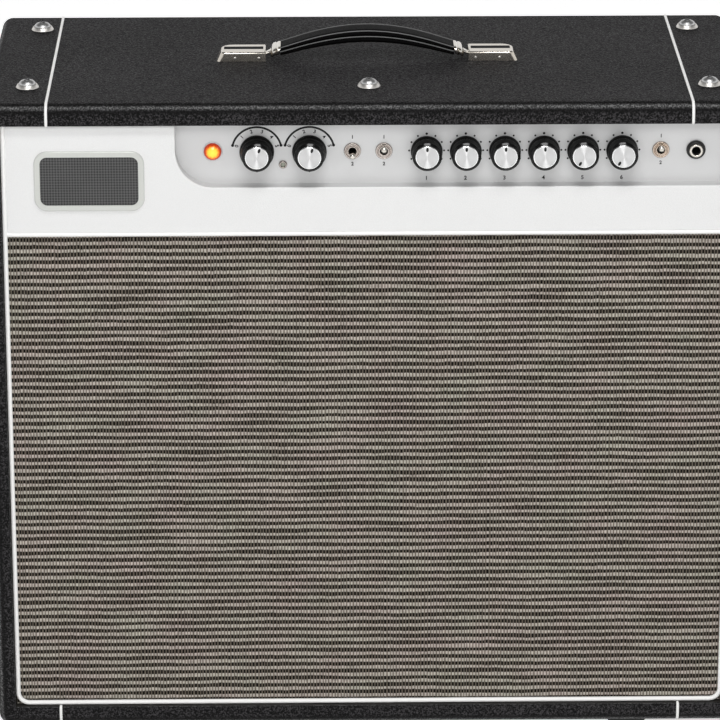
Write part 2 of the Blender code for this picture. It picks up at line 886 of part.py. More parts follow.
inlet_hole = boxes(
    "inlet_hole",
    [
        (
            place(INLET_X - 0.0235 - 2 * GAP, CHASSIS_BACK - MARGIN, REAR_Z - 0.0115 - 2 * GAP),
            place(INLET_X + 0.0235 + 2 * GAP, CHASSIS_BACK + MARGIN, REAR_Z + 0.0115 + 2 * GAP),
        )
    ],
)
combine(chassis, inlet_hole, "DIFFERENCE")

# Valves, hanging tip down in their sockets
valve_top = CHASSIS_BOTTOM + SHEET
for i, x in enumerate(PREAMP_X):
    r, length = PREAMP_RADIUS, PREAMP_LENGTH
    lathe(
        f"preamp_valve_{i + 1}",
        [
            (0.0, length),
            (0.0016, length - 0.0006),
            (0.0022, length - 0.0040),
            (r * 0.55, length - 0.0060),
            (r * 0.90, length - 0.0095),
            (r, length - 0.0140),
            (r, 0.0015),
            (r * 0.85, 0.0),
            (0.0, 0.0),
        ],
        GLASS,
        place(x, VALVE_ROW, valve_top),
        HANGING,
        steps=12,
    )
for i, x in enumerate(POWER_X):
    r, length = POWER_RADIUS, POWER_LENGTH
    lathe(
        f"power_valve_{i + 1}",
        [
            (0.0, length),
            (r * 0.45, length - 0.0020),
            (r * 0.82, length - 0.0070),
            (r * 0.97, length - 0.0140),
            (r * 0.97, 0.034),
            (r * 0.88, 0.028),
            (r, 0.0265),
            (r, 0.0015),
            (r * 0.92, 0.0),
            (0.0, 0.0),
        ],
        GLASS,
        place(x, VALVE_ROW, valve_top),
        HANGING,
        steps=16,
    )


def transformer(name, x, y, width, stack, height):
    # laminated core standing across the depth, rounded end covers front and back
    top = CHASSIS_BOTTOM - GAP
    core = box(
        name,
        place(x - width / 2, y - stack / 2, top - height),
        place(x + width / 2, y + stack / 2, top),
        PAINTED,
    )
    covers = bmesh.new()
    for side in (-1, 1):
        reach = sorted((side * (stack / 2 - 0.001), side * (stack / 2 + stack * 0.38)))
        low = place(x - width * 0.40, y + reach[0], top - height * 0.88)
        high = place(x + width * 0.40, y + reach[1], top - height * 0.12)
        made = bmesh.ops.create_cube(
            covers,
            size=1.0,
            matrix=Matrix.Translation((low + high) / 2) @ Matrix.Diagonal((*(high - low), 1.0)),
        )
        outer = max(side * vert.co.y for vert in made["verts"])
        rim = {edge for vert in made["verts"] for edge in vert.link_edges}
        rim = [edge for edge in rim if all(side * v.co.y > outer - 0.001 for v in edge.verts)]
        bmesh.ops.bevel(covers, geom=rim, offset=stack * 0.2, segments=2, profile=0.5, affect="EDGES")
    mesh = bpy.data.meshes.new(name + "_covers")
    covers.to_mesh(mesh)
    covers.free()
    combine(core, link(name + "_covers", mesh, cutters), "UNION")


transformer("mains_transformer", *MAINS_TRANSFORMER)
transformer("output_transformer", *OUTPUT_TRANSFORMER)

# Loudspeaker: pressed basket with windows, surround, cone with dust cap and coil, magnet
speaker_at = place(0, 0, SPEAKER_Z)
flange = baffle_back + GAP
basket_wall = [
    (BASKET_RADIUS, flange),
    (BASKET_RADIUS, flange + 0.0040),
    (0.1420, flange + 0.0060),
    (0.1360, flange + 0.0200),
    (0.0880, 0.0800),
    (0.0800, 0.0885),
    (0.0400, 0.0900),
    (0.0300, 0.0900),
    (0.0300, 0.0880),
    (0.0780, 0.0862),
    (0.0855, 0.0786),
    (0.1335, flange + 0.0192),
    (0.1396, flange),
]
basket = lathe(
    "speaker_basket",
    [(r, -y) for r, y in basket_wall],
    PAINTED,
    speaker_at,
    FACING_FRONT,
    steps=SPEAKER_STEPS,
    ring=True,
)
windows = bmesh.new()
for i in range(BASKET_WINDOWS):
    turn = Matrix.Rotation(2 * math.pi * (i + 0.5) / BASKET_WINDOWS, 4, "Y")
    made = bmesh.ops.create_cube(windows, size=1.0)
    for vert in made["verts"]:
        outer = vert.co.z > 0
        spread = 0.0285 if outer else 0.0190
        vert.co = Vector(
            (2 * vert.co.x * spread, 0.070 + vert.co.y * 0.060, 0.1250 if outer else 0.0910)
        )
        vert.co = turn @ vert.co
window_mesh = bpy.data.meshes.new("basket_windows")
windows.to_mesh(window_mesh)
windows.free()
combine(basket, link("basket_windows", window_mesh, cutters, speaker_at), "DIFFERENCE")


def roll(radius):
    # depth of the two pressed rolls of the surround
    share = (radius - CONE_RADIUS) / (0.1390 - CONE_RADIUS)
    return flange + 0.0030 - 0.0022 * abs(math.sin(2 * math.pi * share))


surround_radii = [CONE_RADIUS + 0.0006 + 0.0121 * i / 4 for i in range(5)]
surround = [(r, -roll(r)) for r in surround_radii]
surround += [(r, -roll(r) - 0.0010) for r in reversed(surround_radii)]
lathe("speaker_surround", surround, PAPER, speaker_at, FACING_FRONT, steps=SPEAKER_STEPS, ring=True)
cone = [
    (0.0, 0.0600),
    (0.0190, 0.0625),
    (0.0330, 0.0720),
    (0.0800, 0.0530),
    (CONE_RADIUS, flange + 0.0030),
    (CONE_RADIUS, flange + 0.0042),
    (0.0800, 0.0545),
    (COIL_RADIUS + 0.0006, 0.0785),
    (COIL_RADIUS + 0.0006, 0.0985),
    (COIL_RADIUS - 0.0006, 0.0985),
    (COIL_RADIUS - 0.0006, 0.0740),
    (0.0180, 0.0640),
    (0.0, 0.0614),
]
lathe("speaker_cone", [(r, -y) for r, y in cone], PAPER, speaker_at, FACING_FRONT, steps=SPEAKER_STEPS)
magnet = [
    (0.0, 0.0870),
    (COIL_RADIUS - 0.0022, 0.0870),
    (COIL_RADIUS - 0.0022, 0.1060),
    (COIL_RADIUS + 0.0026, 0.1060),
    (COIL_RADIUS + 0.0026, MAGNET_FRONT),
    (0.0600, MAGNET_FRONT),
    (0.0600, 0.0970),
    (MAGNET_RADIUS, 0.0970),
    (MAGNET_RADIUS, 0.1200),
    (0.0620, 0.1200),
    (0.0600, 0.1280),
    (0.0120, 0.1280),
    (0.0100, 0.1240),
    (0.0, 0.1240),
]
lathe("speaker_magnet", [(r, -y) for r, y in magnet], PAINTED, speaker_at, FACING_FRONT, steps=20)

# Handle: two stamped end caps, two ferrules with tongues, one arched grip
top_z = CABINET_HEIGHT + GAP
for side_name, side in (("left", -1), ("right", 1)):

    def across(near, far):
        return sorted((side * near, side * far))

    inner, outer = across(CAP_INNER, CAP_OUTER)
    cap = box(
        f"handle_cap_{side_name}",
        place(inner, HANDLE_Y - CAP_HALF, top_z),
        place(outer, HANDLE_Y + CAP_HALF, top_z + CAP_HEIGHT),
        NICKEL,
    )
    for vert in cap.data.vertices:
        if vert.co.z > place(0, 0, top_z + CAP_HEIGHT / 2).z and abs(vert.co.x) > CAP_OUTER - 0.001:
            vert.co.x -= side * CAP_SLOPE
    soften(cap, 0.0022)
    near, far = across(CAP_INNER + CAP_WALL, CAP_OUTER - CAP_SLOPE - CAP_WALL)
    inside = boxes(
        f"cap_inside_{side_name}",
        [
            (
                place(near, HANDLE_Y - CAP_HALF + CAP_WALL, top_z - MARGIN),
                place(far, HANDLE_Y + CAP_HALF - CAP_WALL, top_z + CAP_HEIGHT - CAP_ROOF),
            )
        ],
    )
    combine(cap, inside, "DIFFERENCE")
    near, far = across(CAP_INNER - MARGIN, CAP_INNER + MARGIN)
    slot = boxes(
        f"cap_slot_{side_name}",
        [
            (
                place(near, HANDLE_Y - CAP_SLOT, top_z - MARGIN),
                place(far, HANDLE_Y + CAP_SLOT, top_z + CAP_HEIGHT - CAP_ROOF),
            )
        ],
    )
    combine(cap, slot, "DIFFERENCE")
    near, far = across(CAP_INNER + 0.0035, CAP_OUTER - CAP_SLOPE - 0.0045)
    dish = boxes(
        f"cap_dish_{side_name}",
        [
            (
                place(near, HANDLE_Y - CAP_HALF + 0.0075, top_z + CAP_HEIGHT - CAP_DISH),
                place(far, HANDLE_Y + CAP_HALF - 0.0045, top_z + CAP_HEIGHT + MARGIN),
            )
        ],
    )
    combine(cap, dish, "DIFFERENCE")
    near, far = across(CAP_INNER - FERRULE_GAP - FERRULE_LENGTH, CAP_INNER - FERRULE_GAP)
    ferrule = box(
        f"handle_ferrule_{side_name}",
        place(near, HANDLE_Y - FERRULE_HALF, top_z + FERRULE_BOTTOM),
        place(far, HANDLE_Y + FERRULE_HALF, top_z + FERRULE_TOP),
        NICKEL,
        0.0020,
    )
    near, far = across(CAP_INNER - 0.004, CAP_INNER + 0.014)
    tongue = boxes(
        f"tongue_{side_name}",
        [
            (
                place(near, HANDLE_Y - TONGUE_HALF, top_z + FERRULE_BOTTOM + OVERLAP - TONGUE_THICK),
                place(far, HANDLE_Y + TONGUE_HALF, top_z + FERRULE_BOTTOM + OVERLAP),
            )
        ],
    )
    combine(ferrule, tongue, "UNION")

grip_end = CAP_INNER - FERRULE_GAP - FERRULE_LENGTH - GAP


def grip_line(x):
    # height of the middle of the grip, a shallow arch flattened at its ends
    share = x / grip_end
    return top_z + GRIP_END_Z + GRIP_RISE * (1 - share * share) ** 1.15


grip_steps = 12
grip_top = []
grip_under = []
for i in range(grip_steps + 1):
    x = grip_end * (2 * i / grip_steps - 1)
    half_thick = GRIP_THICK / 2 * (0.84 + 0.16 * (1 - (x / grip_end) ** 2))
    grip_top.append((x, grip_line(x) + half_thick))
    grip_under.append((x, grip_line(x) - half_thick))
plate(
    "handle_grip",
    grip_under + grip_top[::-1],
    2 * GRIP_HALF_WIDTH,
    BLACK,
    place(0, HANDLE_Y, 0),
    FACING_FRONT,
    GRIP_ROUND,
    2,
)
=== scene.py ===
from math import cos, pi, radians, sin

import bmesh
import bpy
from mathutils import Matrix, Vector


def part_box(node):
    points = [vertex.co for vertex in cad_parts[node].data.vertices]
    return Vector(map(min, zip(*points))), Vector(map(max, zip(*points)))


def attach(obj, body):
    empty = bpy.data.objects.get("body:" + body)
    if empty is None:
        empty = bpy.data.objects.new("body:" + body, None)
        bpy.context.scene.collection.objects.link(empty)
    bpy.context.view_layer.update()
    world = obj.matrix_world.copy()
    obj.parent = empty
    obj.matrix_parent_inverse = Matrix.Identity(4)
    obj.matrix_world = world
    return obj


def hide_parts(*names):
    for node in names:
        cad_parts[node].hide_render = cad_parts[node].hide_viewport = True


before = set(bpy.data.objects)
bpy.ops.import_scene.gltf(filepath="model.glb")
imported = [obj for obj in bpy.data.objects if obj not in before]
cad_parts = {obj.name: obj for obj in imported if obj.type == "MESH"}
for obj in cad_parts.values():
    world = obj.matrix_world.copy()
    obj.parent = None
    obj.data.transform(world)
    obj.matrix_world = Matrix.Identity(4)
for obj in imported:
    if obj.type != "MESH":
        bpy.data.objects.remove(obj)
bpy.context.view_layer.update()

scene = bpy.context.scene
shellLow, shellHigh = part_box("cabinet_shell")
frontPlane, footHeight = shellLow.y, shellLow.z
gap = 0.0003
hair = 0.0001  # slack when faces are told apart by their place
past = 0.01  # how far a cutter stands out
sideways, backward = Vector((1, 0, 0)), Vector((0, 1, 0))
upright = Matrix.Identity(4)
toFront = Matrix.Rotation(pi / 2, 4, "X")
toBack = Matrix.Rotation(-pi / 2, 4, "X")
toFloor = Matrix.Rotation(pi, 4, "X")
print("frame loaded:", len(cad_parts), "nodes")


def at(x, depth, height):
    # depth back from the cabinet's front, height above its underside
    return Vector((x, frontPlane + depth, footHeight + height))


def middle(node):
    low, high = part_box(node)
    return (low + high) / 2


# shader sockets as numbers

class Wire:
    def __init__(self, tree, socket):
        self.tree, self.socket = tree, socket

    def maths(self, operation, *values):
        return self.tree.add("ShaderNodeMath", {"operation": operation}, dict(enumerate(values)))

    def __add__(self, other):
        return self.maths("ADD", self, other)

    def __radd__(self, other):
        return self.maths("ADD", other, self)

    def __sub__(self, other):
        return self.maths("SUBTRACT", self, other)

    def __rsub__(self, other):
        return self.maths("SUBTRACT", other, self)

    def __mul__(self, other):
        return self.maths("MULTIPLY", self, other)

    def __rmul__(self, other):
        return self.maths("MULTIPLY", other, self)

    def __truediv__(self, other):
        return self.maths("DIVIDE", self, other)

    def __rtruediv__(self, other):
        return self.maths("DIVIDE", other, self)

    def wave(self):
        return self.maths("SINE", self)

    def root(self):
        return self.maths("SQRT", self)

    def kept(self):
        return self.tree.add("ShaderNodeClamp", {}, {"Value": self})


class Tree:
    def __init__(self, nodeTree):
        self.nodeTree = nodeTree

    def feed(self, socket, value):
        if isinstance(value, Wire):
            self.nodeTree.links.new(value.socket, socket)
        elif socket.type == "RGBA" and len(value) == 3:
            socket.default_value = (*value, 1)
        else:
            socket.default_value = value

    def add(self, kind, settings=None, sockets=None, out=0):
        node = self.nodeTree.nodes.new(kind)
        for key, value in (settings or {}).items():
            if key == "stops":
                for i, (spot, colour) in enumerate(value):
                    ramp = node.color_ramp.elements
                    stop = ramp[i] if i < 2 else ramp.new(spot)
                    stop.position, stop.color = spot, (*colour, 1)
            else:
                setattr(node, key, value)
        for key, value in (sockets or {}).items():
            self.feed(node.inputs[key], value)
        return Wire(self, node.outputs[out])

    def mix(self, share, first, second, way="MIX"):
        settings = {"data_type": "RGBA", "blend_type": way}
        return self.add("ShaderNodeMix", settings, {0: share, 6: first, 7: second}, 2)


class Finish(Tree):
    words = {
        "colour": "Base Color", "rough": "Roughness", "metal": "Metallic", "coat": "Coat Weight",
        "through": "Transmission Weight", "ior": "IOR", "gloss": "Specular IOR Level",
        "glow": "Emission Color", "glowPower": "Emission Strength", "sheen": "Sheen Weight",
        "brushed": "Anisotropic", "brushTurn": "Anisotropic Rotation", "normal": "Normal",
    }

    def __init__(self, name, **values):
        self.material = bpy.data.materials.new(name)
        self.material.use_nodes = True
        super().__init__(self.material.node_tree)
        self.shader = self.nodeTree.nodes["Principled BSDF"]
        self.set(**values)

    def set(self, **values):
        for word, value in values.items():
            self.feed(self.shader.inputs[self.words[word]], value)
        return self

    def spot(self, scale=(1, 1, 1)):
        here = self.add("ShaderNodeTexCoord", out="Object")
        return self.add("ShaderNodeVectorMath", {"operation": "MULTIPLY"}, {0: here, 1: scale})

    def axes(self):
        here = self.add("ShaderNodeTexCoord", out="Object")
        return [self.add("ShaderNodeSeparateXYZ", {}, {0: here}, out) for out in "XYZ"]

    def noise(self, scale, detail=2, stretch=(1, 1, 1)):
        sockets = {"Vector": self.spot(stretch), "Scale": scale, "Detail": detail}
        return self.add("ShaderNodeTexNoise", {}, sockets)

    def cells(self, scale):
        return self.add("ShaderNodeTexVoronoi", {}, {"Vector": self.spot(), "Scale": scale})

    def bend(self):
        # 1 where the surface faces halfway between two axes, 0 where it faces along one
        faces = self.add("ShaderNodeNewGeometry", out="Normal")
        x, y, z = [self.add("ShaderNodeSeparateXYZ", {}, {0: faces}, out) for out in "XYZ"]
        return (4 * (x * x * y * y + y * y * z * z + z * z * x * x)).kept()

    def bump(self, height, distance):
        return self.add("ShaderNodeBump", {}, {"Height": height, "Distance": distance})


# finishes

def vinylFinish(name, dark, light, grain, relief, rough, gloss, paintedEdgeHighlight=None):
    # embossed leathercloth: pebbles with paler crowns, partly wear and partly painted glints; along rounded
    # edges a painted dark band and a painted highlight line
    made = Finish(name, gloss=gloss)
    pebble = made.cells(1 / grain)
    pores = made.noise(1.6 / grain, 3)
    patches = made.noise(9, 2)
    crown = (1.15 - pebble * 1.3 + (pores - 0.5) * 1.4).kept()
    # the crowns' paleness is partly wear and partly painted glint on the grain
    wornAndGlints = (crown * 0.5 + (pores - 0.5) * 4.0 + (patches - 0.5) * 0.5).kept()
    colour = made.mix(wornAndGlints, dark, light)
    if paintedEdgeHighlight:
        bend = made.bend()
        peak = bend * bend * bend * bend
        # painted shade: a dark band where the edge starts to round
        colour = made.mix((3.4 * bend * (1 - bend)).kept(), colour, dark)
        # painted highlight: a pale line along the middle of rounded edges
        colour = made.mix((peak * peak * (0.25 + wornAndGlints)).kept(), colour, paintedEdgeHighlight)
    return made.set(
        colour=colour,
        rough=rough + 0.16 * (1 - crown),
        normal=made.bump(crown, relief),
    ).material


def plainFinish(name, colour, shade, rough, speck=900, relief=0.00003, **more):
    # moulded or painted surface with a faint speckle
    made = Finish(name, **more)
    fine = made.noise(speck, 3)
    broad = made.noise(35, 2)
    return made.set(
        colour=made.mix((fine * 0.6 + broad * 0.4).kept(), shade, colour),
        rough=rough + 0.14 * (broad - 0.5) + 0.1 * (fine - 0.5),
        normal=made.bump(fine, relief),
    ).material


def metalFinish(name, colour, shade, rough, stretch=(1, 1, 1), speck=700, relief=0.00001):
    made = Finish(name, metal=1.0)
    drawn = made.noise(speck, 3, stretch)
    smear = made.noise(60, 3)
    return made.set(
        colour=made.mix((0.5 * drawn + 0.5 * smear).kept(), shade, colour),
        rough=rough + 0.12 * (smear - 0.45) + 0.1 * (drawn - 0.5),
        normal=made.bump(drawn, relief),
    ).material


def clothFinish(look):
    # rows of light and dark weft dashes between upright warp threads
    made = Finish("grilleClothFinish", gloss=0.08, sheen=0.03)
    x, y, z = made.axes()
    drift = made.noise(13, 2, (1, 0, 0.5))
    jitter = made.noise(420, 1, (1, 0, 0.12))
    wander = made.noise(140, 1, (1, 0, 0.02))
    column = x / look["warpPitch"] + (wander - 0.5) * 0.8
    row = (z + (drift - 0.5) * look["drift"] + (jitter - 0.5) * look["jitter"]) / look["rowPitch"]
    dash = (0.5 + look["dashEdge"] * ((column * (2 * pi)).wave() + look["dashShare"])).kept()
    streak = made.noise(150, 3, (0.12, 0, 1))
    share = look["lightShare"] + (streak - 0.5) * look["streak"]
    lightRow = (0.5 + look["rowEdge"] * ((row * (2 * pi)).wave() + share)).kept()
    mood = made.noise(300, 2, (1, 0, 0.9))
    tint = made.noise(38, 2, (0.6, 0, 0.8))
    twist = made.noise(500, 1, (1, 0, 0.03))
    weft = made.mix(lightRow, look["dark"], look["light"])
    warp = made.mix((twist * 1.6 - 0.3).kept(), look["warpDark"], look["warp"])
    warp = made.mix(0.5 * (1 - lightRow), warp, look["warpShade"])
    yarn = made.mix(dash, warp, weft)
    tinted = made.mix((tint * 2.6 - 0.8).kept(), look["cool"], look["warm"])
    yarn = made.mix(1.0, yarn, tinted, "MULTIPLY")
    yarn = made.mix((0.9 * (mood - 0.32)).kept(), yarn, (0.0, 0.0, 0.0))
    return made.set(
        colour=yarn,
        rough=0.8 + 0.1 * mood,
        normal=made.bump(lightRow * dash + 0.35 * (1 - dash), look["relief"]),
    ).material


def spunFinish(name, colour, shade, pitch, relief):
    # turned end face: fine rings round the piece's own axis
    made = Finish(name, metal=1.0, brushed=0.90, brushTurn=0.25)
    x, y, z = made.axes()
    radius = (x * x + y * y).root()
    rings = (radius * (2 * pi / pitch)).wave()
    sockets = {"W": radius, "Scale": 1 / pitch, "Detail": 2}
    loose = made.add("ShaderNodeTexNoise", {"noise_dimensions": "1D"}, sockets)
    smear = made.noise(160, 2)
    return made.set(
        colour=made.mix((loose * 0.7 + smear * 0.3).kept(), shade, colour),
        rough=0.36 + 0.1 * smear,
        normal=made.bump(rings + 1.5 * loose, relief),
    ).material


def woodFinish(name, dark, light, rough):
    made = Finish(name)
    fibre = made.noise(28, 4, (1.0, 14, 14))
    pores = made.noise(220, 3, (0.6, 10, 10))
    return made.set(
        colour=made.mix((fibre * 1.5 - 0.3 + (pores - 0.5) * 0.3).kept(), dark, light),
        rough=rough + 0.2 * (pores - 0.5),
        normal=made.bump(pores, 0.0001),
    ).material


def grey(level):
    return (level, level, level)


# the last colour, grey 0.17, is a painted highlight along rounded edges
blackVinyl = vinylFinish(
    "blackVinylFinish", grey(0.002), (0.056, 0.053, 0.056), 0.0020, 0.0006, 0.54, 0.11, grey(0.17))
whiteVinyl = vinylFinish(
    "whiteVinylFinish", (0.79, 0.79, 0.785), (0.85, 0.85, 0.845), 0.0009, 0.00004, 0.52, 0.3)
gripVinyl = vinylFinish("gripVinylFinish", grey(0.002), grey(0.006), 0.0007, 0.00003, 0.30, 0.006)
# the welts' grey is a painted highlight: lighter beads stand in for highlight lines along the black grip
weltHighlightPaint = plainFinish("weltPaintedHighlightFinish", grey(0.17), grey(0.09), 0.34, 700, gloss=0.3)
whitePiping = plainFinish("whitePipingFinish", (0.96, 0.955, 0.94), (0.88, 0.875, 0.86), 0.42, 500)
knobBlack = plainFinish("knobBlackFinish", grey(0.005), grey(0.002), 0.46, 900, 0.00002, gloss=0.025)
knobGloss = plainFinish("knobGlossFinish", grey(0.006), grey(0.003), 0.16, 800, 0.000005, gloss=0.22)
knobStep = plainFinish("knobStepFinish", grey(0.020), grey(0.010), 0.22, 800, 0.000005, gloss=1.0)
blackPlastic = plainFinish("blackPlasticFinish", grey(0.018), grey(0.010), 0.36, gloss=0.3)
rubberBlack = plainFinish("rubberFinish", grey(0.030), grey(0.018), 0.80, 400, 0.0001)
blackPaint = plainFinish("blackPaintFinish", (0.035, 0.035, 0.037), grey(0.020), 0.42, 600, 0.00006)
inkBlack = plainFinish("inkFinish", grey(0.012), grey(0.006), 0.55, 1500, gloss=0.2)
panelSilver = plainFinish("panelSilverFinish", grey(0.68), grey(0.61), 0.42, 1400, 0.00003, metal=0.35)
ledgeSilver = plainFinish("ledgeSilverFinish", grey(0.60), grey(0.54), 0.45, 700, 0.000005, metal=0.15)
nickel = metalFinish("nickelFinish", (0.66, 0.63, 0.58), (0.52, 0.49, 0.44), 0.11)
satinNickel = metalFinish("satinNickelFinish", (0.74, 0.72, 0.69), (0.58, 0.56, 0.53), 0.36)
capNickel = metalFinish("capNickelFinish", (0.66, 0.62, 0.56), (0.52, 0.48, 0.42), 0.20)
screwNickel = metalFinish("screwNickelFinish", grey(0.66), grey(0.44), 0.36)
nutNickel = metalFinish("nutNickelFinish", (0.56, 0.51, 0.48), (0.36, 0.32, 0.29), 0.18)
warmNickel = metalFinish("warmNickelFinish", (0.60, 0.50, 0.42), (0.40, 0.33, 0.27), 0.20)
zinc = metalFinish("zincFinish", (0.62, 0.62, 0.60), (0.48, 0.48, 0.47), 0.36, (1, 1, 1), 160, 0.00004)
lamination = metalFinish(
    "laminationFinish", (0.20, 0.19, 0.18), grey(0.06), 0.45, (0.01, 1, 0.01), 900, 0.0002)
spunAluminium = spunFinish("spunCapFinish", grey(0.68), grey(0.53), 0.00050, 0.000004)
turnedRim = metalFinish("turnedRimFinish", grey(0.93), grey(0.84), 0.20)
plywood = woodFinish("plywoodFinish", (0.16, 0.09, 0.04), (0.40, 0.27, 0.15), 0.62)
darkStain = woodFinish("darkStainFinish", (0.010, 0.009, 0.008), (0.028, 0.025, 0.022), 0.60)
print("finishes made")


# mesh making

def eased(profile, radius, count=3):
    # the same profile with its corners rounded
    soft = [profile[0]]
    for before, here, after in zip(profile, profile[1:], profile[2:]):
        before, here, after = Vector(before), Vector(here), Vector(after)
        first, last = before - here, after - here
        first *= min(radius, 0.45 * first.length) / first.length
        last *= min(radius, 0.45 * last.length) / last.length
        for i in range(count + 1):
            t = i / count
            soft.append(tuple(here + first * (1 - t) ** 2 + last * t ** 2))
    return soft + [profile[-1]]


def turned(profile, steps=48, soft=0.0, ripple=None, ring=False):
    # (radius, height) pairs spun round z, their corners rounded by soft
    shape = bmesh.new()
    rings = []
    for radius, height in eased(profile, soft) if soft else profile:
        angles = [0] if radius == 0 else [2 * pi * i / steps for i in range(steps)]
        reach = [radius + (ripple(angle, height) if ripple and radius else 0) for angle in angles]
        rings.append([shape.verts.new((r * cos(a), r * sin(a), height)) for r, a in zip(reach, angles)])
    if ring:
        rings.append(rings[0])
    for upper, lower in zip(rings, rings[1:]):
        for i in range(steps):
            j = (i + 1) % steps
            above = [upper[i % len(upper)], upper[j % len(upper)]]
            below = [lower[j % len(lower)], lower[i % len(lower)]]
            corners = list(dict.fromkeys(above + below))
            if len(corners) > 2:
                shape.faces.new(corners)
    return shape


def block(low, high, edge=0.001, segments=3):
    low, high = Vector(low), Vector(high)
    shape = bmesh.new()
    place = Matrix.Translation((low + high) / 2) @ Matrix.Diagonal((*(high - low), 1))
    bmesh.ops.create_cube(shape, size=1, matrix=place)
    if edge:
        soften(shape, shape.edges[:], edge, segments)
    return shape


def soften(shape, edges, edge, segments=3, **more):
    bmesh.ops.bevel(shape, geom=edges, offset=edge, segments=segments, profile=0.5, affect="EDGES", **more)


def rising(shape, least):
    return [e for e in shape.edges if abs(e.verts[0].co.z - e.verts[1].co.z) > least]


def thicken(shape, depth):
    # a flat shape at z = 0 gets a body below it
    grown = bmesh.ops.extrude_face_region(shape, geom=shape.faces[:])["geom"]
    lower = [item for item in grown if isinstance(item, bmesh.types.BMVert)]
    bmesh.ops.translate(shape, verts=lower, vec=(0, 0, -depth))
    return shape


def slab(outline, thickness, edge=0.0, segments=3):
    # a flat outline in x and y, its face at z = 0 and its body below
    shape = bmesh.new()
    shape.faces.new([shape.verts.new((x, y, 0)) for x, y in outline])
    thicken(shape, thickness)
    if edge:
        rim = [item for item in shape.edges if all(v.co.z > -thickness / 2 for v in item.verts)]
        soften(shape, rim, edge, segments)
    return shape


def skin(shape, rings):
    # faces between rings of equal count, with both ends closed
    for near, far in zip(rings, rings[1:]):
        for k in range(len(near)):
            m = (k + 1) % len(near)
            shape.faces.new((near[k], near[m], far[m], far[k]))
    shape.faces.new(rings[0])
    shape.faces.new(rings[-1])
    return shape


def bead(points, radius, across, sides=12):
    # a round cord along a flat path; across is square to the path's plane
    shape = bmesh.new()
    rings = []
    turns = [2 * pi * k / sides for k in range(sides)]
    for i, point in enumerate(points):
        along = (points[min(i + 1, len(points) - 1)] - points[max(i - 1, 0)]).normalized()
        out = along.cross(across).normalized()
        around = [point + radius * (cos(t) * out + sin(t) * across) for t in turns]
        rings.append([shape.verts.new(spot) for spot in around])
    return skin(shape, rings)


def loft(sections, sides=32, squareness=3.2, groove=0.0):
    # rounded sections along x: x, middle z, half width, half thickness, lean
    shape = bmesh.new()
    rings = []
    for x, z, wide, thick, lean in sections:
        ring = []
        for k in range(sides):
            t = 2 * pi * k / sides
            u = wide * abs(cos(t)) ** (2 / squareness) * (1 if cos(t) > 0 else -1)
            v = thick * abs(sin(t)) ** (2 / squareness) * (1 if sin(t) > 0 else -1)
            u *= 1 - groove * max(0, 1 - abs(v / thick - 0.05) / 0.30)
            ring.append(shape.verts.new((x - v * sin(lean), u, z + v * cos(lean))))
        rings.append(ring)
    return skin(shape, rings)


def meshFrom(name, shape):
    mesh = bpy.data.meshes.new(name)
    shape.to_mesh(mesh)
    shape.free()
    return mesh


def linked(name, data):
    item = bpy.data.objects.new(name, data)
    scene.collection.objects.link(item)
    return item


def evaluated(item):
    # the item's shape with its modifiers or text outlines worked out
    ready = item.evaluated_get(bpy.context.evaluated_depsgraph_get())
    shape = bmesh.new()
    shape.from_mesh(ready.to_mesh())
    ready.to_mesh_clear()
    return shape


def gather(*shapes):
    whole = bmesh.new()
    for shape in shapes:
        mesh = meshFrom("loose", shape)
        whole.from_mesh(mesh)
        bpy.data.meshes.remove(mesh)
    return whole


def moved(shape, where=(0, 0, 0), turn=upright):
    bmesh.ops.transform(shape, matrix=Matrix.Translation(where) @ turn, verts=shape.verts)
    return shape


def carve(shape, cutter):
    pair = []
    for item in (shape, cutter):
        bmesh.ops.recalc_face_normals(item, faces=item.faces)
        pair.append(linked("loose", meshFrom("loose", item)))
    change = pair[0].modifiers.new("carve", "BOOLEAN")
    change.object, change.operation, change.solver = pair[1], "DIFFERENCE", "EXACT"
    cut = evaluated(pair[0])
    for item in pair:
        mesh = item.data
        bpy.data.objects.remove(item)
        bpy.data.meshes.remove(mesh)
    return cut


def put(name, shape, finish, where=(0, 0, 0), turn=upright, body="cabinet",
        node=None, crease=35):
    bmesh.ops.recalc_face_normals(shape, faces=shape.faces)
    mesh = meshFrom(name, shape)
    for item in finish if isinstance(finish, list) else [finish]:
        mesh.materials.append(item)
    if crease:
        mesh.shade_smooth()
        mesh.set_sharp_from_angle(angle=radians(crease))
    piece = linked(name, mesh)
    if crease:
        piece.modifiers.new("evenShade", "WEIGHTED_NORMAL").keep_sharp = True
    piece.matrix_world = Matrix.Translation(where) @ turn
    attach(piece, body)
    if node:
        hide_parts(node)
    return piece


def arc(centre, radius, start, end, count):
    for i in range(count + 1):
        t = radians(start + (end - start) * i / count)
        yield centre[0] + radius * cos(t), centre[1] + radius * sin(t)


# camera

camera = {"place": (-0.0555, -3.1689, 1.4293), "pitch": 19.3206, "yaw": 0.8608, "roll": -0.0095,
          "lens": 210, "sensor": 36, "reach": 100}

eye = bpy.data.cameras.new("photoCamera")
eye.lens, eye.sensor_width, eye.clip_end = camera["lens"], camera["sensor"], camera["reach"]
eyeObject = linked("photoCamera", eye)
eyeObject.matrix_world = (
    Matrix.Translation(at(*camera["place"]))
    @ Matrix.Rotation(radians(-camera["yaw"]), 4, "Z")
    @ Matrix.Rotation(radians(90 - camera["pitch"]), 4, "X")
    @ Matrix.Rotation(radians(camera["roll"]), 4, "Z")
)
scene.camera = eyeObject
print("camera set")


# cabinet

cabinet = {"wall": 0.014, "board": 0.017, "corner": 0.009, "lip": 0.0012}

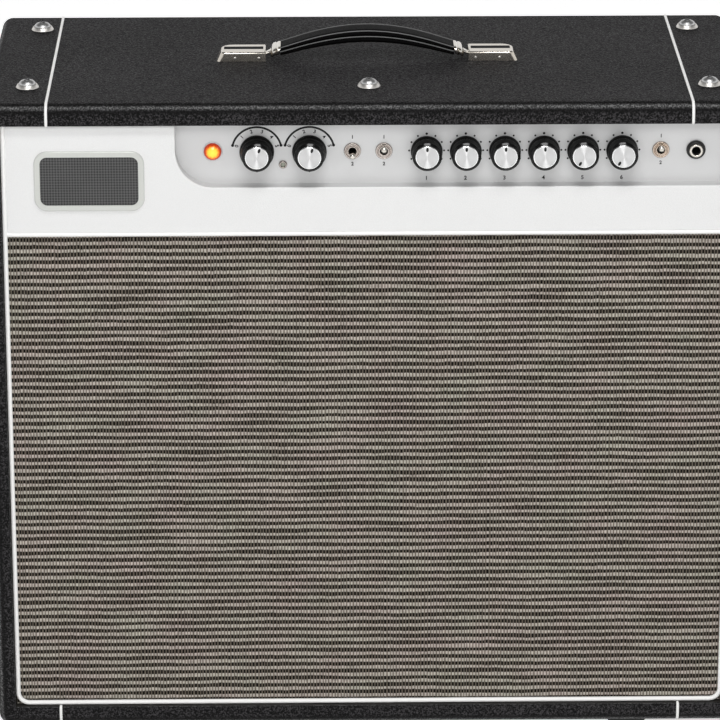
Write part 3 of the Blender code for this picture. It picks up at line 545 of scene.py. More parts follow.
deep, high = shellHigh.y - shellLow.y, shellHigh.z - shellLow.z
innerHalf = shellHigh.x - cabinet["wall"]
roof = high - cabinet["board"]
cover = block(shellLow, shellHigh, cabinet["corner"], 8)
hollow = block(at(-innerHalf, -past, cabinet["board"]), at(innerHalf, deep + past, roof), 0)
cover = carve(cover, hollow)
inside = []
for face in cover.faces:
    spot = face.calc_center_median()
    within = cabinet["board"] - hair < spot.z - footHeight < roof + hair
    if within and abs(spot.x) < innerHalf + hair and abs(face.normal.y) < 0.1:
        face.material_index = 1
        inside.append(face)
rim = [e for e in cover.edges if len([f for f in e.link_faces if f in inside]) == 1]
soften(cover, rim, cabinet["lip"], material=0)
put("cabinetCover", cover, [blackVinyl, darkStain], node="cabinet_shell")

cleats = {"size": 0.018, "top": 0.444, "near": (0.0273, 0.248)}

battens = []
for side in (-1, 1):
    for near in cleats["near"]:
        ends = sorted((side * (innerHalf - cleats["size"]), side * innerHalf))
        low = at(ends[0], near, cabinet["board"])
        battens.append(block(low, at(ends[1], near + cleats["size"] - gap, cleats["top"]), 0.001))
put("cabinetCleats", gather(*battens), plywood)

piping = {"seamRadius": 0.0012, "seamSink": 0.0002, "seamCurl": 0.0015, "frontRadius": 0.0019,
          "frontDepth": 0.005, "corner": 0.009}


def seamLine(x, level, sign):
    # over one board, from the front piping round to the back opening
    corner, sink, curl = cabinet["corner"], piping["seamSink"], piping["seamCurl"]
    bend, end = corner - sink, level - sign * (cabinet["board"] - gap)
    yield at(x, piping["frontDepth"] - piping["frontRadius"] - gap, end)
    for i in range(5):
        t = pi / 2 * i / 4
        yield at(x, curl + sink - curl * sin(t), end + sign * (curl - curl * cos(t)))
    for i in range(9):
        t = pi / 2 * i / 8
        yield at(x, corner - bend * cos(t), level - sign * (corner - bend * sin(t)))
    for i in range(8, -1, -1):
        t = pi / 2 * i / 8
        yield at(x, deep - corner + bend * cos(t), level - sign * (corner - bend * sin(t)))
    yield at(x, deep - sink, end)


for word, level, sign in (("top", high, 1), ("bottom", 0, -1)):
    for side in ("left", "right"):
        node = f"cabinet_piping_{word}_{side}"
        line = list(seamLine(middle(node).x, level, sign))
        seam = bead(line, piping["seamRadius"], sideways)
        put(f"seamPiping.{word}.{side}", seam, whitePiping, node=node)

beadX = innerHalf - gap - piping["frontRadius"]
beadZ = cabinet["board"] + gap + piping["frontRadius"]
turnX, turnZ = beadX - piping["corner"], beadZ + piping["corner"]
line = [(-beadX, roof - gap)]
line += arc((-turnX, turnZ), piping["corner"], 180, 270, 12)
line += arc((turnX, turnZ), piping["corner"], 270, 360, 12)
line.append((beadX, roof - gap))
line = [at(x, piping["frontDepth"], z) for x, z in line]
put("frontPiping", bead(line, piping["frontRadius"], backward), whitePiping,
    node="front_piping")
print("cabinet covered")


# fascia and cloth

panel = {"thick": 0.002, "indicator": (-0.0685, 0.4768), "shaftHole": 0.0036, "leverHole": 0.0031,
         "lampHole": 0.0058, "jackHole": 0.0044}
plateLow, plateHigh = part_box("control_panel")
panelFace = plateHigh.y - panel["thick"] - frontPlane

fascia = {"notchLeft": -0.1533, "notchLow": 0.4613, "notchRadius": 0.030, "round": 0.0010,
          "tuck": 0.0006}

boardLow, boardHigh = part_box("fascia_panel")
half, low = boardHigh.x + fascia["tuck"], boardLow.z - footHeight - fascia["tuck"]
fasciaFace = boardLow.y - frontPlane
thick = panelFace - fasciaFace
notchLeft, notchLow, bend = fascia["notchLeft"], fascia["notchLow"], fascia["notchRadius"]
edge = [(-half, low), (half, low), (half, notchLow)]
edge += arc((notchLeft + bend, notchLow + bend), bend, 270, 180, 24)
edge += [(notchLeft, roof - gap), (-half, roof - gap)]
fasciaBoard = slab(edge, thick, fascia["round"], 4)
for side in fasciaBoard.faces:
    spot = side.calc_center_median()
    onEdge = -thick + hair < spot.z < -fascia["round"]
    byNotch = notchLeft - 0.001 < spot.x < half - hair and spot.y > notchLow - 0.001
    if onEdge and byNotch:
        side.material_index = 1  # the grey lip round the notch
put("fasciaBoard", fasciaBoard, [whiteVinyl, ledgeSilver], at(0, fasciaFace, 0), toFront,
    node="fascia_panel")
pipeLow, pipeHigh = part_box("fascia_piping")
pipeMid, pipeRadius = (pipeLow + pipeHigh) / 2, (pipeHigh.z - pipeLow.z) / 2
line = [Vector((half * i / 8, pipeMid.y, pipeMid.z)) for i in range(-8, 9)]
put("fasciaPiping", bead(line, pipeRadius, backward), whitePiping,
    node="fascia_piping")

cloth = {
    "face": 0.0076, "across": 120, "up": 84, "sway": 0.00018, "warpPitch": 0.00252, "rowPitch": 0.00622,
    "drift": 0.0020, "jitter": 0.0011, "dashEdge": 1.1, "dashShare": 0.15, "rowEdge": 1.5,
    "lightShare": -0.16, "streak": 2.4, "relief": 0.0004,
    "light": (0.605, 0.549, 0.508), "dark": (0.005, 0.003, 0.002), "warp": (0.285, 0.252, 0.218),
    "warpDark": (0.175, 0.150, 0.125), "warpShade": (0.056, 0.044, 0.033),
    "cool": (0.94, 0.99, 0.92), "warm": (1.0, 0.945, 0.945),
}

clothLow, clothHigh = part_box("grille_cloth")
clothSize = clothHigh - clothLow
weave = bmesh.new()
bmesh.ops.create_grid(weave, x_segments=cloth["across"], y_segments=cloth["up"], size=0.5)
for vert in weave.verts:
    x = clothLow.x + (vert.co.x + 0.5) * clothSize.x
    z = clothLow.z + (vert.co.y + 0.5) * clothSize.z
    ripple = sin(x * 61 + 3 * sin(z * 17)) * cos(z * 47 + 2 * sin(x * 13))
    vert.co = (x, frontPlane + cloth["face"] + cloth["sway"] * ripple, z)
grille = put("grilleWeave", weave, clothFinish(cloth), node="grille_cloth")
print("fascia and cloth in place")


# control panel and its print

stepped = ("attenuator_b", "attenuator_a")
swept = ("presence", "bass", "midrange", "treble", "volume_b", "volume_a")
flipped = ("voicing_b", "voicing_a", "channel")
controlX = {name: middle(f"{name}_knob").x for name in stepped + swept}
controlX |= {name: middle(f"{name}_lever").x for name in flipped}
lampX, jackX = middle("pilot_jewel").x, middle("input_jack").x
controlHeight = middle("presence_knob").z - footHeight

low, top = plateLow.z - footHeight, plateHigh.z - footHeight
edge = [(plateLow.x, low), (plateHigh.x, low), (plateHigh.x, top), (plateLow.x, top)]
drills = [(controlX[name], panel["shaftHole"]) for name in stepped + swept]
drills += [(controlX[name], panel["leverHole"]) for name in flipped]
drills += [(lampX, panel["lampHole"]), (jackX, panel["jackHole"])]
holes = []
for x, radius in drills:
    hole = turned([(0, past), (radius, past), (radius, -past), (0, -past)], 32)
    holes.append(moved(hole, (x, controlHeight, 0)))
plate = carve(slab(edge, panel["thick"], 0.0003, 2), gather(*holes))
put("controlPanel", plate, panelSilver, at(0, panelFace, 0), toFront,
    node="control_panel")

ink = {"lift": 0.00006, "arcRadius": 0.0197, "arcWidth": 0.0016, "arcEnd": 14, "arcDot": 0.0012,
       "stepRing": 0.0164, "stepDot": 0.0010, "dotRing": 0.0138, "dot": 0.0008, "mainDot": 0.0010,
       "figure": 0.0040, "label": 0.0044, "labelDrop": 0.0228, "flipRise": (0.0112, -0.0108), "bold": 0.03}


def figure(text, x, z, size, lean=0.0):
    curve = bpy.data.curves.new("figure", "FONT")
    curve.body, curve.offset = text, ink["bold"]
    curve.align_x, curve.align_y = "CENTER", "CENTER"
    item = linked("figure", curve)
    shape = evaluated(item)
    bpy.data.objects.remove(item)
    bpy.data.curves.remove(curve)
    return moved(shape, (x, z, 0), Matrix.Rotation(lean, 4, "Z") @ Matrix.Scale(size, 4))


def dot(x, z, radius, sides=12):
    shape = bmesh.new()
    shape.faces.new([shape.verts.new((*p, 0)) for p in list(arc((x, z), radius, 0, 360, sides))[:-1]])
    return shape


def band(x, z, radius, width, start, end, count):
    shape = bmesh.new()
    inner = [shape.verts.new((*p, 0)) for p in arc((x, z), radius - width / 2, start, end, count)]
    outer = [shape.verts.new((*p, 0)) for p in arc((x, z), radius + width / 2, start, end, count)]
    for i in range(count):
        shape.faces.new((inner[i], outer[i], outer[i + 1], inner[i + 1]))
    return shape


marks = []
for name in stepped:
    x, z, start = controlX[name], controlHeight, ink["arcEnd"]
    marks.append(band(x, z, ink["arcRadius"], ink["arcWidth"], start, 180 - start, 40))
    for spot in arc((x, z), ink["arcRadius"], start, 180 - start, 1):
        marks.append(dot(*spot, ink["arcDot"]))
    for i, spot in enumerate(arc((x, z), ink["stepRing"], 165, 15, 5)):
        marks.append(figure(str(i), *spot, ink["figure"], radians(75 - 30 * i)))
    marks.append(dot(x, z - ink["stepRing"], ink["stepDot"]))
for i, name in enumerate(swept):
    x, z = controlX[name], controlHeight
    for k, spot in enumerate(arc((x, z), ink["dotRing"], 240, -60, 10)):
        marks.append(dot(*spot, ink["dot"] if k % 5 else ink["mainDot"]))
    marks.append(figure(str(i + 1), x, z - ink["labelDrop"], ink["label"]))
for name in flipped:
    for text, rise in zip("12", ink["flipRise"]):
        marks.append(figure(text, controlX[name], controlHeight + rise, ink["figure"]))
printed = thicken(gather(*marks), ink["lift"] / 2)
put("panelPrint", printed, inkBlack, at(0, panelFace - ink["lift"], 0), toFront, crease=0)
print("panel printed")


# knobs, levers, lamp and jack

knob = {"top": 0.0116, "cap": 0.0095, "height": 0.019, "standoff": 0.0015, "skirt": 0.0080,
        "flutes": 40, "fluteDepth": 0.00018, "capSink": 0.0001, "capThick": 0.0020, "capRim": 0.0010,
        "dot": (0.0011, 0.0019), "dotThick": 0.0006, "dotAway": 0.0064,
        "turn": {"attenuator_b": -18, "attenuator_a": -18, "volume_b": 150, "volume_a": 150}}


def knobBody(look, base):
    top, rise, skirt = look["top"], look["height"], look["skirt"]
    seat, bore = look["cap"] + hair, panel["shaftHole"]
    profile = [
        (bore, rise - 0.0022), (seat, rise - 0.0022), (seat, rise - 0.0004), (top - 0.0018, rise - 0.0004),
        (top, rise - 0.0021), (top + 0.0003, skirt), (base - 0.0009, skirt - 0.0010),
        (base - 0.0002, skirt - 0.0040), (base, 0.0008), (base - 0.0005, 0.0), (bore, 0.0),
    ]

    def flute(angle, height):
        fluted = skirt + 0.0006 < height < rise - 0.0030
        return -look["fluteDepth"] * (1 + cos(angle * look["flutes"])) if fluted else 0

    shape = turned(profile, look["flutes"] * 4, 0.0003, flute, True)
    for face in shape.faces:
        level = face.calc_center_median().z
        onShoulder, onStep = level > rise - 0.0024, skirt - 0.0011 < level < skirt
        face.material_index = 1 if onShoulder else 2 if onStep else 0
    return shape


def knobCap(look):
    cap, rise = look["cap"], look["height"] - look["capSink"]
    under = rise - look["capThick"]
    profile = [(0, rise), (cap - 0.0009, rise), (cap, rise - 0.0007), (cap, under), (0, under)]
    shape = turned(profile, 96, 0.0002)
    for face in shape.faces:
        onRim = min(v.co.xy.length for v in face.verts) > cap - look["capRim"]
        face.material_index = 1 if onRim else 0
    return shape


for name in stepped + swept:
    low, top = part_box(f"{name}_knob")
    where = at(controlX[name], panelFace - knob["standoff"], controlHeight)
    body = knobBody(knob, (top.x - low.x) / 2)
    put(f"{name}.knobBody", body, [knobBlack, knobGloss, knobStep], where, toFront, name,
        f"{name}_knob")
    put(f"{name}.knobCap", knobCap(knob), [spunAluminium, turnedRim], where, toFront, name)
    wide, tall = knob["dot"]
    oval = [(wide * cos(2 * pi * i / 20), tall * sin(2 * pi * i / 20)) for i in range(20)]
    mark = slab(oval, knob["dotThick"], hair, 1)
    mark = moved(mark, (0, knob["dotAway"], knob["height"] - knob["capSink"] / 2))
    mark = moved(mark, turn=Matrix.Rotation(radians(knob["turn"].get(name, 0)), 4, "Z"))
    put(f"{name}.pointer", mark, inkBlack, where, toFront, name)

lever = {"lean": 12, "pivot": 0.0209, "rearPivot": -0.0026, "knurl": 0.00012, "ridges": 32}
batProfile = [
    (0, 0.0145), (0.0010, 0.01435), (0.0019, 0.0138), (0.0024, 0.0125), (0.0023, 0.0108), (0.0019, 0.0080),
    (0.0014, 0.0045), (0.0013, 0.0035), (0.0020, 0.0012), (0.0016, -0.0010), (0, -0.0016),
]
nutProfile = [
    (0.0028, 0.0), (0.0028, 0.0016), (0.0034, 0.0022), (0.0042, 0.0022), (0.0046, 0.0010),
    (0.0052, 0.0010), (0.0056, 0.0015), (0.0064, 0.0014), (0.0068, 0.0008), (0.0068, 0.0),
]
bushProfile = [
    (0, -0.0052), (0.0020, -0.0050), (0.0023, 0.0002), (0.0028, 0.0009), (0.0028, -0.0056), (0, -0.0056),
]


def knurl(angle, height):
    return lever["knurl"] * cos(angle * lever["ridges"])


def toggle(name, where, depth, lean, facing, metal):
    # where is on the face that carries the nut, depth is the lever's pivot behind it
    aim = Matrix.Rotation(lean, 4, "X")
    bat = turned(batProfile, 32, 0.0004)
    put(f"{name}.lever", bat, nickel, where + depth * backward, aim, name, f"{name}_lever")
    nut = turned(nutProfile, 4 * lever["ridges"], 0.0003, knurl, True)
    put(f"{name}.nut", nut, metal, where, facing)
    put(f"{name}.bushing", turned(bushProfile, 32), blackPlastic, where, facing)


for name in flipped:
    lean = lever["lean"] if name == "voicing_b" else -lever["lean"]
    where = at(controlX[name], panelFace, controlHeight)
    metal = warmNickel if name == "channel" else nutNickel
    toggle(name, where, lever["pivot"] - panelFace, radians(90 + lean), toFront, metal)

lamp = {
    "radius": 0.0071, "glow": 1.0, "facets": 14, "sparkle": 0.16,
    "stops": [(0.0, (1.0, 0.92, 0.06)), (1.0, (0.22, 0.012, 0.004)), (0.46, (1.0, 0.78, 0.03)),
              (0.66, (1.0, 0.28, 0.015)), (0.82, (0.44, 0.035, 0.006))],
}
lampFinish = Finish("amberLensFinish", colour=(0.20, 0.02, 0.005), coat=0.25, glowPower=lamp["glow"])
x, y, z = lampFinish.axes()
reach = ((x * x + y * y).root() / lamp["radius"]).kept()
sparkle = lampFinish.cells(700)
glowSpot = (reach + (sparkle - 0.5) * lamp["sparkle"]).kept()
amber = lampFinish.add("ShaderNodeValToRGB", {"stops": lamp["stops"]}, {"Fac": glowSpot})
lampFinish.set(glow=amber, rough=0.10 + 0.1 * sparkle)
bezelProfile = [
    (0, 0.0002), (0.0070, 0.0002), (0.0070, 0.0005), (0.0073, 0.0006), (0.0077, 0.0004), (0.0078, 0.0),
    (0.0056, 0.0), (0.0056, -0.012), (0, -0.012),
]
jewelProfile = [
    (0, 0.0044), (0.0026, 0.0042), (0.0048, 0.0033), (0.0062, 0.0021), (0.0070, 0.0009), (0.0070, 0.0004),
    (0, 0.0004),
]
lampAt = at(lampX, panelFace - gap, controlHeight)
put("pilotBezel", turned(bezelProfile, 64, 0.0002), panelSilver, lampAt, toFront,
    node="pilot_bezel")
put("pilotJewel", turned(jewelProfile, lamp["facets"]), lampFinish.material, lampAt, toFront,
    node="pilot_jewel", crease=10)

clearLens = plainFinish(
    "clearLensFinish", (0.78, 0.80, 0.70), (0.50, 0.53, 0.44), 0.12, 700, through=0.5, ior=1.45)
sparkAt = at(panel["indicator"][0], panelFace, panel["indicator"][1])
ringProfile = [(0.0019, 0.0004), (0.0019, 0.0018), (0.0027, 0.0020), (0.0034, 0.0008), (0.0034, 0.0)]
lensProfile = [(0, 0.0025), (0.0009, 0.0022), (0.0016, 0.0014), (0.0019, 0.0006), (0.0019, 0.0), (0, 0.0)]
put("indicatorRing", turned(ringProfile, 40, 0.0003, ring=True), nutNickel, sparkAt, toFront)
put("indicatorLens", turned(lensProfile, 32), clearLens, sparkAt, toFront)

socketNut = [
    (0, -0.024), (0.0031, -0.024), (0.0031, 0.0030), (0.0054, 0.0030), (0.0058, 0.0033), (0.0070, 0.0028),
    (0.0076, 0.0014), (0.0076, 0.0), (0.0043, 0.0), (0.0043, -0.0048), (0.0092, -0.0048), (0.0092, -0.026),
    (0, -0.026),
]
socketRing = [(0.0033, 0.0020), (0.0033, 0.0042), (0.0037, 0.0048), (0.0049, 0.0048), (0.0055, 0.0042),
              (0.0055, 0.0020), (0.0033, 0.0020)]


def jack(name, where, facing, node):
    nut = turned(socketNut, 64, 0.0004)
    put(f"{name}.nut", nut, blackPlastic, where, facing, node=node)
    put(f"{name}.ring", turned(socketRing, 48, 0.0003), nickel, where, facing)


jack("inputJack", at(jackX, panelFace - gap, controlHeight), toFront, "input_jack")
print("controls in place")


# handle

handle = {"slope": 0.0036, "edge": 0.0013, "dishDeep": 0.0018, "dishBack": 0.0072, "dishFront": 0.0105,
          "dishSide": 0.0020, "corners": (0.0030, 0.0085), "rivets": (0.0056, 0.0249),
          "rivetHeight": 0.0030, "gripThick": 0.0108, "gripSteps": 48, "bow": 1.15, "weltRadius": 0.0005,
          "welts": ((0.86, 0.88), (-0.88, 0.86), (-0.945, 0.04))}

capLow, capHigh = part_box("handle_cap_right")
gripLow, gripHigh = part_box("handle_grip")
ferruleLow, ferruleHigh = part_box("handle_ferrule_right")
handleAt = Vector((0, (capLow.y + capHigh.y) / 2, capLow.z))
inner, outer = capLow.x, capHigh.x
half, rise = (capHigh.y - capLow.y) / 2, capHigh.z - capLow.z
rivetProfile = [(0, 0.0008), (0.0008, 0.0006), (0.0012, 0.0), (0, 0.0)]
for side, sign in (("left", -1), ("right", 1)):
    cap = block((inner, -half, 0), (outer, half, rise), 0)
    for vert in cap.verts:
        if vert.co.x > outer - 0.001 and vert.co.z > 0.001:
            vert.co.x -= handle["slope"]
    for facing, corner in zip((-1, 1), handle["corners"]):
        ends = [e for e in rising(cap, 0.001) if all(v.co.x > outer - 0.006 for v in e.verts)]
        soften(cap, [e for e in ends if all(v.co.y * facing > 0 for v in e.verts)], corner, 6)
    soften(cap, [e for e in cap.edges if all(v.co.z > 0.001 for v in e.verts)], handle["edge"])
    dishLow = (inner + handle["dishSide"], -half + handle["dishFront"], rise - handle["dishDeep"])
    dishHigh = (outer - handle["slope"] - handle["dishSide"], half - handle["dishBack"], rise + past)
    cap = carve(cap, block(dishLow, dishHigh, 0))
    dishRim = (*dishHigh[:2], rise - 2 * hair)
    for facet in cap.faces:
        spot = facet.calc_center_median()
        if all(a - hair < s < b + hair for a, s, b in zip(dishLow, spot, dishRim)):
            facet.material_index = 1  # the slot's inside gets black paint: painted shade for its shadowed walls and floor
    mirror = Matrix.Diagonal((sign, 1, 1, 1))
    put(f"handleCap.{side}", moved(cap, turn=mirror), [capNickel, blackPaint], handleAt,
        node=f"handle_cap_{side}", crease=30)
    pins = []
    for away in handle["rivets"]:
        pin = turned(rivetProfile, 16, 0.0003)
        pins.append(moved(pin, (sign * (inner + away), -half, handle["rivetHeight"]), toFront))
    put(f"handleRivets.{side}", gather(*pins), satinNickel, handleAt)
    near = inner - 0.0008
    sections = [
        (near + 0.0120, 0.0040, 0.0034, 0.0010, 0.0), (near + 0.0004, 0.0040, 0.0034, 0.0011, 0.05),
        (near - 0.0026, 0.0050, 0.0034, 0.0018, 0.10), (near - 0.0034, 0.0056, 0.0062, 0.0026, 0.16),
        (near - 0.0038, 0.0060, 0.0116, 0.0034, 0.22), (near - 0.0046, 0.0064, 0.0128, 0.0040, 0.26),
        (near - 0.0064, 0.0070, 0.0128, 0.0041, 0.28), (near - 0.0074, 0.0073, 0.0116, 0.0034, 0.28),
        (near - 0.0084, 0.0076, 0.0128, 0.0041, 0.28), (near - 0.0102, 0.0080, 0.0126, 0.0038, 0.28),
        (near - 0.0108, 0.0081, 0.0116, 0.0030, 0.28),
    ]
    put(f"handleFerrule.{side}", moved(loft(sections, 32, 4), turn=mirror), nickel, handleAt,
        node=f"handle_ferrule_{side}")

strap = []
endHeight = (ferruleLow.z + ferruleHigh.z) / 2 - capLow.z + 0.0004
crest = gripHigh.z - capLow.z - handle["gripThick"] / 2
for i in range(handle["gripSteps"] + 1):
    share = 2 * i / handle["gripSteps"] - 1
    bow = 1 - share * share
    thick = handle["gripThick"] / 2 * (0.68 + 0.32 * bow)
    wide = (gripHigh.y - gripLow.y) / 2 * (0.97 + 0.03 * bow)
    height = endHeight + (crest - endHeight) * bow ** handle["bow"]
    strap.append((gripHigh.x * share, height, wide, thick, 0.0))
grip = loft(strap, 64, 4.6, 0.07)
welts = []
for out, up in handle["welts"]:
    line = [Vector((x, out * wide, z + up * thick)) for x, z, wide, thick, lean in strap]
    welts.append(bead(line, handle["weltRadius"], backward, 8))
    # the welt beads take the painted-highlight grey
    for facet in welts[-1].faces:
        facet.material_index = 1
put("handleGrip", gather(grip, *welts), [gripVinyl, weltHighlightPaint], handleAt,
    node="handle_grip")


# top screws in their cup washers

screw = {"recess": 0.0044, "recessWide": 0.0010, "recessDeep": 0.0018, "taper": 0.45, "turn": 0.75}
headProfile = [
    (0, 0.0066), (0.0030, 0.0063), (0.0050, 0.0055), (0.0063, 0.0043), (0.0068, 0.0032), (0.0068, 0.0018),
    (0, 0.0018),
]
cupProfile = [
    (0.0066, 0.0018), (0.0070, 0.0029), (0.0075, 0.0031), (0.0082, 0.0022), (0.0092, 0.0006),
    (0.0092, 0.0), (0.0060, 0.0),
]


def crossHead(profile, look, size):
    # two blades cut a tapered cross into the dome
    head = turned(profile, 40, 0.0005)
    top = profile[0][1]
    for turn in (0, pi / 2):
        low = (-look["recess"] * size, -look["recessWide"] * size, top - look["recessDeep"] * size)
        blade = block(low, (-low[0], -low[1], top + 0.002), 0)
        for vert in blade.verts:
            if vert.co.z < top:
                vert.co.x *= look["taper"]
        head = carve(head, moved(blade, turn=Matrix.Rotation(turn + look["turn"], 4, "Z")))
    # the cross recess gets black paint: painted shade in the recess
    for facet in head.faces:
        spot = facet.calc_center_median()
        sunk = abs(facet.normal.z) < 0.5 or spot.z < top - look["recessDeep"] * size * 0.9
        facet.material_index = 1 if sunk and spot.xy.length < look["recess"] * size else 0
    return head


for name in ("front_left", "front_centre", "front_right", "rear_left", "rear_right"):
    node = f"chassis_screw_{name}"
    where = Vector((middle(node).x, middle(node).y, shellHigh.z + gap))
    head = crossHead(headProfile, screw, 1)
    put(f"topScrew.{name}", head, [screwNickel, blackPaint], where, node=node, crease=30)
    put(f"cupWasher.{name}", turned(cupProfile, 48, 0.0005, ring=True), satinNickel, where)
print("handle and screws in place")


# badge plate

badge = {"x": -0.2213, "z": 0.4673, "wide": 0.086, "high": 0.048, "corner": 0.010, "rim": 0.0042,
         "thick": 0.0014, "well": 0.0006, "field": 0.0005, "mesh": 0.0044, "outline": 0.0006,
         "dark": grey(0.002), "light": grey(0.085)}


def badgeOutline(inset):
    wide, tall, corner = badge["wide"] - 2 * inset, badge["high"] - 2 * inset, badge["corner"] - inset
    outline = []
    for sx, sy, start in ((1, 1, 0), (-1, 1, 90), (-1, -1, 180), (1, -1, 270)):
        centre = (sx * (wide / 2 - corner), sy * (tall / 2 - corner))
        outline += arc(centre, corner, start, start + 90, 10)
    return outline


badgeSilver = plainFinish("badgeSilverFinish", (0.60, 0.61, 0.58), (0.53, 0.54, 0.51), 0.34, 500, metal=0.4)
badgeAt = at(badge["x"], fasciaFace - badge["thick"], badge["z"])
frameShape = slab(badgeOutline(0), badge["thick"], 0.0005)
well = moved(slab(badgeOutline(badge["rim"]), 2 * badge["well"]), (0, 0, badge["well"]))
put("badgeFrame", carve(frameShape, well), badgeSilver, badgeAt, toFront, crease=30)
put("badgeBack", slab(badgeOutline(-badge["outline"]), badge["thick"] / 2, 0.0002), zinc,
    badgeAt + badge["thick"] / 2 * backward, toFront)
meshFinish = Finish("badgeFieldFinish", rough=0.45)
x, y, z = meshFinish.axes()
pitch = 2 * pi / badge["mesh"]
lattice = (((x + y) * pitch).wave() * ((x - y) * pitch).wave() * 1.4 + 0.5).kept()
tone = meshFinish.noise(40, 2)
meshFinish.set(
    colour=meshFinish.mix((lattice * 0.8 + tone * 0.2).kept(), badge["dark"], badge["light"]),
    normal=meshFinish.bump(lattice, 0.0002),
)
put("badgeField", slab(badgeOutline(badge["rim"] + hair), 0.0004), meshFinish.material,
    badgeAt + badge["field"] * backward, toFront)
print("badge plate in place")


# rear panels, feet and inlet

rear = {"edge": 0.0022, "screwX": 0.281, "screwIn": 0.014, "screwSize": 0.55, "sunk": 0.0014}
rearProfile = [(0, 0.0030), (0.0016, 0.0028), (0.0028, 0.0020), (0.0033, 0.0008), (0.0033, 0), (0, 0)]
rearWasher = [(0.0030, 0.0006), (0.0038, 0.0015), (0.0056, 0.0012), (0.0060, 0.0002), (0.0030, 0.0)]
for word in ("upper", "lower"):
    node = f"{word}_rear_panel"
    low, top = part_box(node)
    put(f"rearBoard.{word}", block(low, top, rear["edge"], 4), blackVinyl, node=node)
    for i, x in enumerate((-rear["screwX"], rear["screwX"])):
        for k, z in enumerate((low.z + rear["screwIn"], top.z - rear["screwIn"])):
            where = Vector((x, top.y - rear["sunk"], z))
            head = crossHead(rearProfile, screw, rear["screwSize"])
            put(f"rearScrew.{word}.{i}{k}", head, [nickel, blackPaint], where, toBack,
                crease=30)
            washer = turned(rearWasher, 32, 0.0003, ring=True)
            put(f"rearWasher.{word}.{i}{k}", washer, nickel, where, toBack)

treadProfile = [
    (0, 0.008), (0.0055, 0.008), (0.0055, 0.0), (0.0148, 0.0), (0.0160, 0.0015), (0.0176, 0.0095),
    (0.0190, 0.0127), (0.0190, 0.0157), (0, 0.0157),
]
footScrew = [
    (0, 0.0062), (0.0018, 0.0064), (0.0026, 0.0074), (0.0034, 0.0072), (0.0054, 0.0076), (0.0054, 0.0080),
    (0, 0.0080),
]
for word in ("front.left", "front.right", "rear.left", "rear.right"):
    node = "foot_" + word.replace(".", "_")
    where = Vector((middle(node).x, middle(node).y, 0))
    put(f"foot.{word}", turned(treadProfile, 56, 0.0010), rubberBlack, where, node=node)
    put(f"footScrew.{word}", turned(footScrew, 32, 0.0004), nickel, where)

inlet = {"socketX": -0.0105, "pins": ((-0.007, -0.0025), (0.0, 0.0045), (0.007, -0.0025)),
         "pin": (0.00105, 0.00205), "reach": (0.0215, 0.0085)}
inletAt, inletBack = middle("mains_inlet"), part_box("mains_inlet")[1].y
rearAt = middle("speaker_jack")
for i, (dx, dz) in enumerate(inlet["pins"]):
    x, z = inletAt.x + inlet["socketX"] + dx, inletAt.z + dz
    wide, tall = inlet["pin"]
    low = (x - wide, inletBack - inlet["reach"][0], z - tall)
    blade = block(low, (x + wide, inletBack - inlet["reach"][1], z + tall), 0.0004)
    put(f"inletBlade.{i}", blade, nickel)
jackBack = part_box("speaker_jack")[1].y - 0.0048
jack("speakerJack", Vector((rearAt.x, jackBack, rearAt.z)), toBack, "speaker_jack")
for name in ("power_switch", "standby_switch"):
    where = Vector((middle(f"{name}_lever").x, jackBack - gap, rearAt.z))
    toggle(name, where, lever["rearPivot"], radians(-90 + lever["lean"]), toBack, nickel)
print("rear fitted")


# valves and transformers

valve = {"wall": 0.0007, "base": 0.0265, "shoulder": 0.0140, "clear": 0.0008, "collar": 0.0045}
glass = plainFinish("valveGlassFinish", (0.97, 0.98, 0.98), (0.93, 0.95, 0.95), 0.03, 300, 0.000005,
                    through=1.0, ior=1.47)
anode = metalFinish("anodeFinish", grey(0.22), grey(0.12), 0.5, (1, 1, 0.1), 500, 0.00004)
getter = metalFinish("getterFinish", grey(0.60), grey(0.20), 0.14, (1, 1, 1), 200)
mica = plainFinish("micaFinish", (0.62, 0.58, 0.50), (0.46, 0.42, 0.36), 0.30)
bakelite = plainFinish("bakeliteFinish", (0.020, 0.016, 0.014), (0.012, 0.010, 0.009), 0.30)
phenolic = plainFinish("phenolicFinish", (0.045, 0.034, 0.026), (0.030, 0.022, 0.016), 0.50)


def envelope(outer, wall):
    # a thin closed shell: the outside, then the same line pulled in by the wall
    half = len(outer) // 2
    inner = [(max(r - wall, 0), z - wall) for r, z in outer[:half]]
    inner += [(max(r - wall, 0), z + wall) for r, z in outer[half:]]
    return turned(eased(outer, 0.0012, 4) + eased(inner[::-1], 0.0012, 4), 48)


